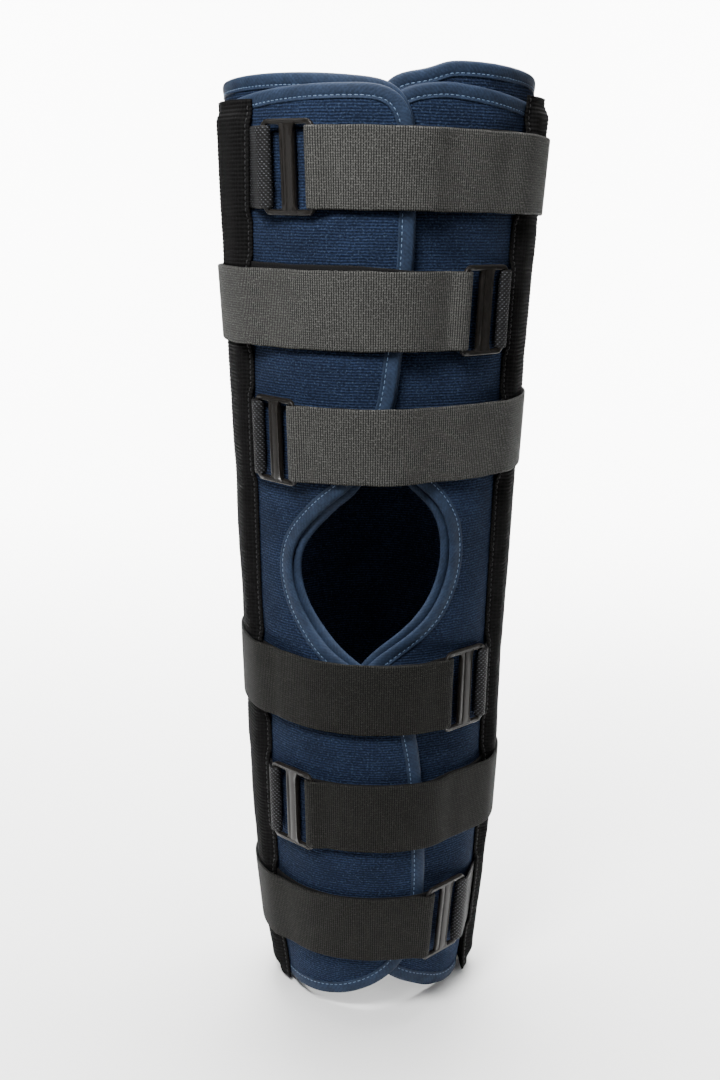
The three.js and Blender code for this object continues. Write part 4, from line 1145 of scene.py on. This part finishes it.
def sleeve_parts(name, side, layers, cloth, width):
    """A pocket's ribbed sleeve, flat and sewn down along both edges, and its two rows of stitches."""
    pitch = cloth.pocket_rib * 1000
    ends = [POCKETS[name][-1][0] * LENGTH, POCKETS[name][0][0] * LENGTH]
    heights = np.arange(ends[0], ends[1], pitch / 5)
    lift = layers.left_lift if side < 0 else layers.flared_sink
    # between the straps the sleeve comes down onto the cloth, and past its stay's ends it is flat
    away = np.min([np.abs(heights - strap_height(row, width)) for row in STRAPS], axis=0)
    low = layers.pocket_floor - (layers.webbing + GAP) * smooth(away, width / 2, width / 2 + 9) - 0.35
    full = layers.pocket_floor + cloth.pocket * 1000 - low - SLEEVE_END
    top = low + SLEEVE_END + full * smooth(np.minimum(heights - ends[0], ends[1] - heights), 3, 13)
    across = np.array([0, 0.5, 1.4, 2.2, 3, 4.4, 7, 10, 15, 20, 26,
                       31, 35, 37, 38.4, 39.4, 40.4, 42, 45, 47.4, POCKET_WIDTH])
    share = smooth(across, FRONT_SEAM, 9) * smooth(POCKET_WIDTH - across, SELVEDGE, SELVEDGE + 6)
    seam = np.exp(-((across - FRONT_SEAM) / 0.7) ** 2)
    seam += np.exp(-((POCKET_WIDTH - across - SELVEDGE) / 0.9) ** 2)
    edge = np.minimum(np.minimum(across, POCKET_WIDTH - across) / 0.8, 1)
    wave = RIB_RELIEF * np.sin(2 * math.pi * heights / pitch + 0.4 * np.sin(heights / 13))
    start = pocket_turn(name, 0, heights)
    rows, unders, lays = [], [], []
    for k, distance in enumerate(across):
        turn = start + side * turn_of(distance, heights)
        height = low + SLEEVE_PLY * (0.35 + 0.65 * edge[k]) + (top - low - SLEEVE_PLY) * share[k]
        height += wave * (0.35 + 0.65 * share[k]) - SEAM_SINK * seam[k]
        puff = 0.8 * share[k] * rumple(turn, heights, 23.0)
        puff = np.where(puff > 0, puff * free_of_straps(heights, width), puff)
        rows.append(placed(turn, heights, lift(turn, heights) + height + puff))
        unders.append(placed(turn, heights, lift(turn, heights) + low))
        lays.append(np.stack(np.broadcast_arrays(distance, heights, 0), 1))
    parts = [(*tube(np.stack(rows + unders[::-1], 1), np.stack(lays + lays[::-1], 1)), 0)]
    for distance in (FRONT_SEAM, POCKET_WIDTH - SELVEDGE):
        line = np.stack([start + side * turn_of(distance, heights), heights], 1)[::6]
        over = np.interp(line[:, 1], heights, low + 1.35)
        row = stitch_row(
            line, np.zeros_like(line), 0, lambda track: lift(track[:, 0], track[:, 1]) + over,
            *SLEEVE_STITCH, closed=False)
        parts.append((*row, 1))
    return parts


class KNEEBRACE_OT_stay_pockets(bpy.types.Operator):
    """Make the ribbed sleeve on each side that hides a stay"""

    bl_idname = "knee_brace.stay_pockets"
    bl_label = "Make Stay Pockets"

    def execute(self, context):
        cloth, webbing, _, _ = settings()
        layers = Layers(cloth, webbing)
        finishes = [ribbed_sleeve_cloth(cloth), polyester_thread("black_thread", linear("#242425"))]
        for name, side in (("left", -1), ("right", 1)):
            parts = sleeve_parts(name, side, layers, cloth, webbing.width * 1000)
            pocket = make_piece(
                f"{name}_pocket_sleeve", parts, finishes, [f"{name}_stay_pocket"])
        return {"FINISHED"}


def strap_paths():
    cloth, webbing, buckle, _ = settings()
    layers = Layers(cloth, webbing)
    outlines = outlines_of(layers)
    return [StrapPath(*pair, layers, outlines, cloth, webbing, buckle) for pair in zip(STRAPS, CREASES)]


class KNEEBRACE_OT_straps(bpy.types.Operator):
    """Make the six straps, each turned round its buckle and laid back over its pocket"""

    bl_idname = "knee_brace.straps"
    bl_label = "Make Straps"

    def execute(self, context):
        webbing = settings()[1]
        thigh = woven_webbing("woven_thigh_webbing", webbing, webbing.strap_colour)
        shaded_webbing = woven_webbing("woven_webbing_painted_shade", webbing, webbing.lower_strap_shade_colour)
        for number, path in enumerate(strap_paths(), 1):
            body = band(path.strap_edges(), path.webbing, True, number)
            # the loop side faces out on the under layer
            body[2][:, 2] *= -path.side
            # the lower straps take the darker copy of the webbing, painted shade for the weaker light low
            # down
            finish = thigh if number <= 3 else shaded_webbing
            make_piece(
                f"strap_webbing_{number}", [(*body, 0)], [finish], [f"strap_{number}"])
        return {"FINISHED"}


class KNEEBRACE_OT_tabs(bpy.types.Operator):
    """Make the six short tabs that hold the buckles"""

    bl_idname = "knee_brace.tabs"
    bl_label = "Make Tabs"

    def execute(self, context):
        webbing = settings()[1]
        finish = twill_webbing(webbing)
        for number, path in enumerate(strap_paths(), 1):
            body = band(path.tab_edges(), path.webbing, False, number + 0.5)
            make_piece(f"tab_webbing_{number}", [(*body, 0)], [finish], [f"tab_{number}"])
        return {"FINISHED"}


def rounded_box(x, y, radius, count=6):
    """Corners of a box with rounded corners, anticlockwise."""
    points = []
    for k, (sx, sy) in enumerate(((1, -1), (1, 1), (-1, 1), (-1, -1))):
        for i in range(count + 1):
            turn = math.pi / 2 * (k - 1 + i / count)
            points.append((sx * (x - radius) + radius * math.cos(turn),
                           sy * (y - radius) + radius * math.sin(turn)))
    return points


def buckle_frame(buckle, width, height):
    """The buckle's plate as a bevelled flat curve with two slots, turned into a mesh."""
    curve = bpy.data.curves.new("buckle_plate", "CURVE")
    curve.dimensions = "2D"
    curve.fill_mode = "BOTH"
    bevel = 0.75
    curve.extrude = buckle.thickness * 500 - bevel
    curve.bevel_depth = bevel
    curve.bevel_resolution = 2
    curve.offset = -bevel
    slot = buckle.slot * 1000
    middle = (buckle.centre_bar * 1000 + slot) / 2
    tall = height / 2 - buckle.rail * 1000
    holes = [[(x + shift, y) for x, y in rounded_box(slot / 2, tall, 1.2, 4)] for shift in (-middle, middle)]
    for outline in [rounded_box(width / 2, height / 2, buckle.corner * 1000, 10), *holes]:
        line = curve.splines.new("POLY")
        line.points.add(len(outline) - 1)
        for point, (x, y) in zip(line.points, outline):
            point.co = (x, y, 0, 1)
        line.use_cyclic_u = True
    shape = bpy.data.objects.new("buckle_plate", curve)
    bpy.context.scene.collection.objects.link(shape)
    mesh = shape.to_mesh()
    mesh.calc_loop_triangles()
    vertices = np.array([v.co for v in mesh.vertices])
    faces = np.array([t.vertices for t in mesh.loop_triangles])
    shape.to_mesh_clear()
    bpy.data.objects.remove(shape)
    bpy.data.curves.remove(curve)
    return vertices, faces


def bar_loft(profile, stations):
    """A bar along y: its cross-section widens and sinks as each station says."""
    rings = [[(x * wide, y, z if z < 0 else z * tall) for x, z in profile] for y, wide, tall in stations]
    rings = np.array(rings)
    return tube(rings, rings.copy())


class KNEEBRACE_OT_buckles(bpy.types.Operator):
    """Make the six double-slot buckles"""

    bl_idname = "knee_brace.buckles"
    bl_label = "Make Buckles"

    def execute(self, context):
        buckle = settings()[2]
        finish = moulded_acetal(buckle)
        paths = strap_paths()
        height = paths[0].width + 2 * (buckle.clearance + buckle.rail) * 1000
        plate, plate_faces = buckle_frame(buckle, paths[0].buckle_width, height)
        t = buckle.thickness * 500
        # cross-sections of the centre bar's flat face and of the ridge beside it: across, height
        face = [
            (-1.7, t - 0.3), (-1.5, t + 0.3), (-1.0, t + 0.5), (1.5, t + 0.55), (3.9, t + 0.5),
            (4.3, t + 0.85), (4.8, t + 0.9), (5.2, t + 0.5), (5.3, t - 0.3), (4.8, -0.5), (-1.3, -0.5),
        ]
        ridge = [
            (-5.2, t - 0.4), (-5.0, t + 0.05), (-4.4, t + 0.3), (-3.3, t + 0.3), (-2.7, t),
            (-2.7, -0.5), (-4.8, -0.5),
        ]
        end = height / 2 - buckle.rail * 500
        # places along them, with the share of their width and height there
        face_rows = [(-end, 1.35, 0.85), (-end + 2, 1.22, 0.97), (-end + 4.5, 1.04, 1), (-end + 9, 1, 1)]
        face_rows += [(-y, wide, tall) for y, wide, tall in reversed(face_rows)]
        ridge_rows = [(-end + 4, 1, 0.8), (-end + 5.5, 1, 1), (end - 5.5, 1, 1), (end - 4, 1, 0.8)]
        # the rails' raised rims
        rim = []
        for k in (-1, 1):
            y = k * end
            across = np.linspace(-1, 1, 15) * (paths[0].buckle_width / 2 - 3.5)
            ring = []
            for x in across:
                tall = 0.42 * math.sqrt(max(0, 1 - (x / across[-1]) ** 4)) + 0.02
                ring.append([(x, y - 1.25, t - 0.2), (x, y - 0.8, t + tall), (x, y + 0.8, t + tall),
                             (x, y + 1.25, t - 0.2), (x, y, -0.3)])
            ring = np.array(ring)
            rim.append(tube(ring, ring.copy()))
        bars = [bar_loft(face, face_rows), bar_loft(ridge, ridge_rows), *rim]
        shapes = [(plate, plate_faces, plate.copy()), *bars]
        for number, path in enumerate(paths, 1):
            parts = [(path.centre + v @ path.axes, f, lay, 0) for v, f, lay in shapes]
            piece = make_piece(
                f"buckle_plastic_{number}", parts, [finish], [f"buckle_{number}"])
            piece.data.set_sharp_from_angle(angle=math.radians(38))
        return {"FINISHED"}


class KNEEBRACE_OT_stage(bpy.types.Operator):
    """Make the camera, the pale floor and the soft lights"""

    bl_idname = "knee_brace.stage"
    bl_label = "Make Studio"

    def execute(self, context):
        studio = settings()[3]
        scene = context.scene
        lens = bpy.data.cameras.new("camera")
        lens.lens = studio.lens * 1000
        lens.clip_start = 0.01
        camera = bpy.data.objects.new("camera", lens)
        camera.matrix_world = (
            Matrix.Translation((-0.010, -studio.distance, studio.camera_height))
            @ Matrix.Rotation(math.pi / 2 - studio.tilt, 4, "X")
            @ Matrix.Rotation(studio.roll, 4, "Z"))
        scene.collection.objects.link(camera)
        scene.camera = camera

        low = SOLIDS_BOX[0].z - 0.0005
        # the paper ends just outside the picture, so that little light comes back to the front and sides
        front, curve, bend, top = -0.23, 1.6, 1.4, 4.5
        turns = np.linspace(0.1, math.pi / 2, 14)
        rows = [(front, 0.0), (0.5, 0.0), (curve, 0.0)]
        rows += [(curve + bend * math.sin(turn), bend - bend * math.cos(turn)) for turn in turns]
        rows.append((curve + bend, top))
        vertices = [(x, y, low + z) for y, z in rows for x in (-1.15, 1.15)]
        faces = [(2 * i, 2 * i + 1, 2 * i + 3, 2 * i + 2) for i in range(len(rows) - 1)]
        mesh = bpy.data.meshes.new("studio_paper")
        mesh.from_pydata(vertices, [], faces)
        mesh.polygons.foreach_set("use_smooth", [True] * len(faces))
        mesh.materials.append(matt_paper(studio))
        paper = bpy.data.objects.new("studio_paper", mesh)
        scene.collection.objects.link(paper)

        world = bpy.data.worlds.new("studio_air")
        scene.world = world
        world.use_nodes = True
        world.node_tree.nodes["Background"].inputs[0].default_value = (1, 1, 1, 1)
        world.node_tree.nodes["Background"].inputs[1].default_value = 0.12
        # name, place, aim, size, watts
        lights = [
            ("key_softbox", (-0.35, -0.8, 1.0), (0, 0, 0.32), 0.4, 37.0),
            ("left_softbox", (-1.0, -0.36, 0.1), (-0.05, -0.09, 0.25), 0.3, 1.3),
            ("fill_softbox", (1.3, -1.3, 1.0), (0, 0, 0.2), 1.0, 12.0),
            ("rim_softbox", (1.1, 0.9, 0.9), (0, 0, 0.1), 0.8, 3.0),
            ("left_paper_light", (-1.6, 1.2, 1.6), (-1.3, 3.0, 0.6), 1.2, 420.0),
            ("right_paper_light", (1.6, 1.2, 1.6), (1.3, 3.0, 0.6), 1.2, 420.0),
            ("floor_light", (0, 0.6, 2.3), (0, 0.6, -0.3), 1.4, 190.0),
        ]
        for name, place, target, size, watts in lights:
            lamp = bpy.data.lights.new(name, "AREA")
            lamp.size = size
            lamp.energy = watts
            holder = bpy.data.objects.new(name, lamp)
            aim = Vector(target) - Vector(place)
            turned = aim.to_track_quat("-Z", "Y").to_matrix().to_4x4()
            holder.matrix_world = Matrix.Translation(place) @ turned
            scene.collection.objects.link(holder)
        return {"FINISHED"}


STEPS = (
    KNEEBRACE_OT_stage,
    KNEEBRACE_OT_wrap,
    KNEEBRACE_OT_side_panels,
    KNEEBRACE_OT_stay_pockets,
    KNEEBRACE_OT_straps,
    KNEEBRACE_OT_tabs,
    KNEEBRACE_OT_buckles,
)


class KNEEBRACE_PT_parts(bpy.types.Panel):
    """The brace's sizes, colours and pieces"""

    bl_label = "Knee Immobilizer"
    bl_idname = "KNEEBRACE_PT_parts"
    bl_space_type = "VIEW_3D"
    bl_region_type = "UI"
    bl_category = "Knee Brace"

    def draw(self, context):
        for group in settings():
            box = self.layout.box()
            for key in group.__annotations__:
                box.prop(group, key)
        for step in STEPS:
            self.layout.operator(step.bl_idname)


GROUPS = {
    "knee_cloth": KneeBraceCloth,
    "knee_webbing": KneeBraceWebbing,
    "knee_buckle": KneeBraceBuckle,
    "knee_studio": KneeBraceStudio,
}


def register():
    for name, group in GROUPS.items():
        bpy.utils.register_class(group)
        setattr(bpy.types.Scene, name, PointerProperty(type=group))
    for entry in (*STEPS, KNEEBRACE_PT_parts):
        bpy.utils.register_class(entry)


def unregister():
    for entry in reversed((*STEPS, KNEEBRACE_PT_parts)):
        bpy.utils.unregister_class(entry)
    for name, group in GROUPS.items():
        delattr(bpy.types.Scene, name)
        bpy.utils.unregister_class(group)


def main():
    register()
    for step in STEPS:
        family, name = step.bl_idname.split(".")
        getattr(getattr(bpy.ops, family), name)()


if __name__ == "__main__":
    main()
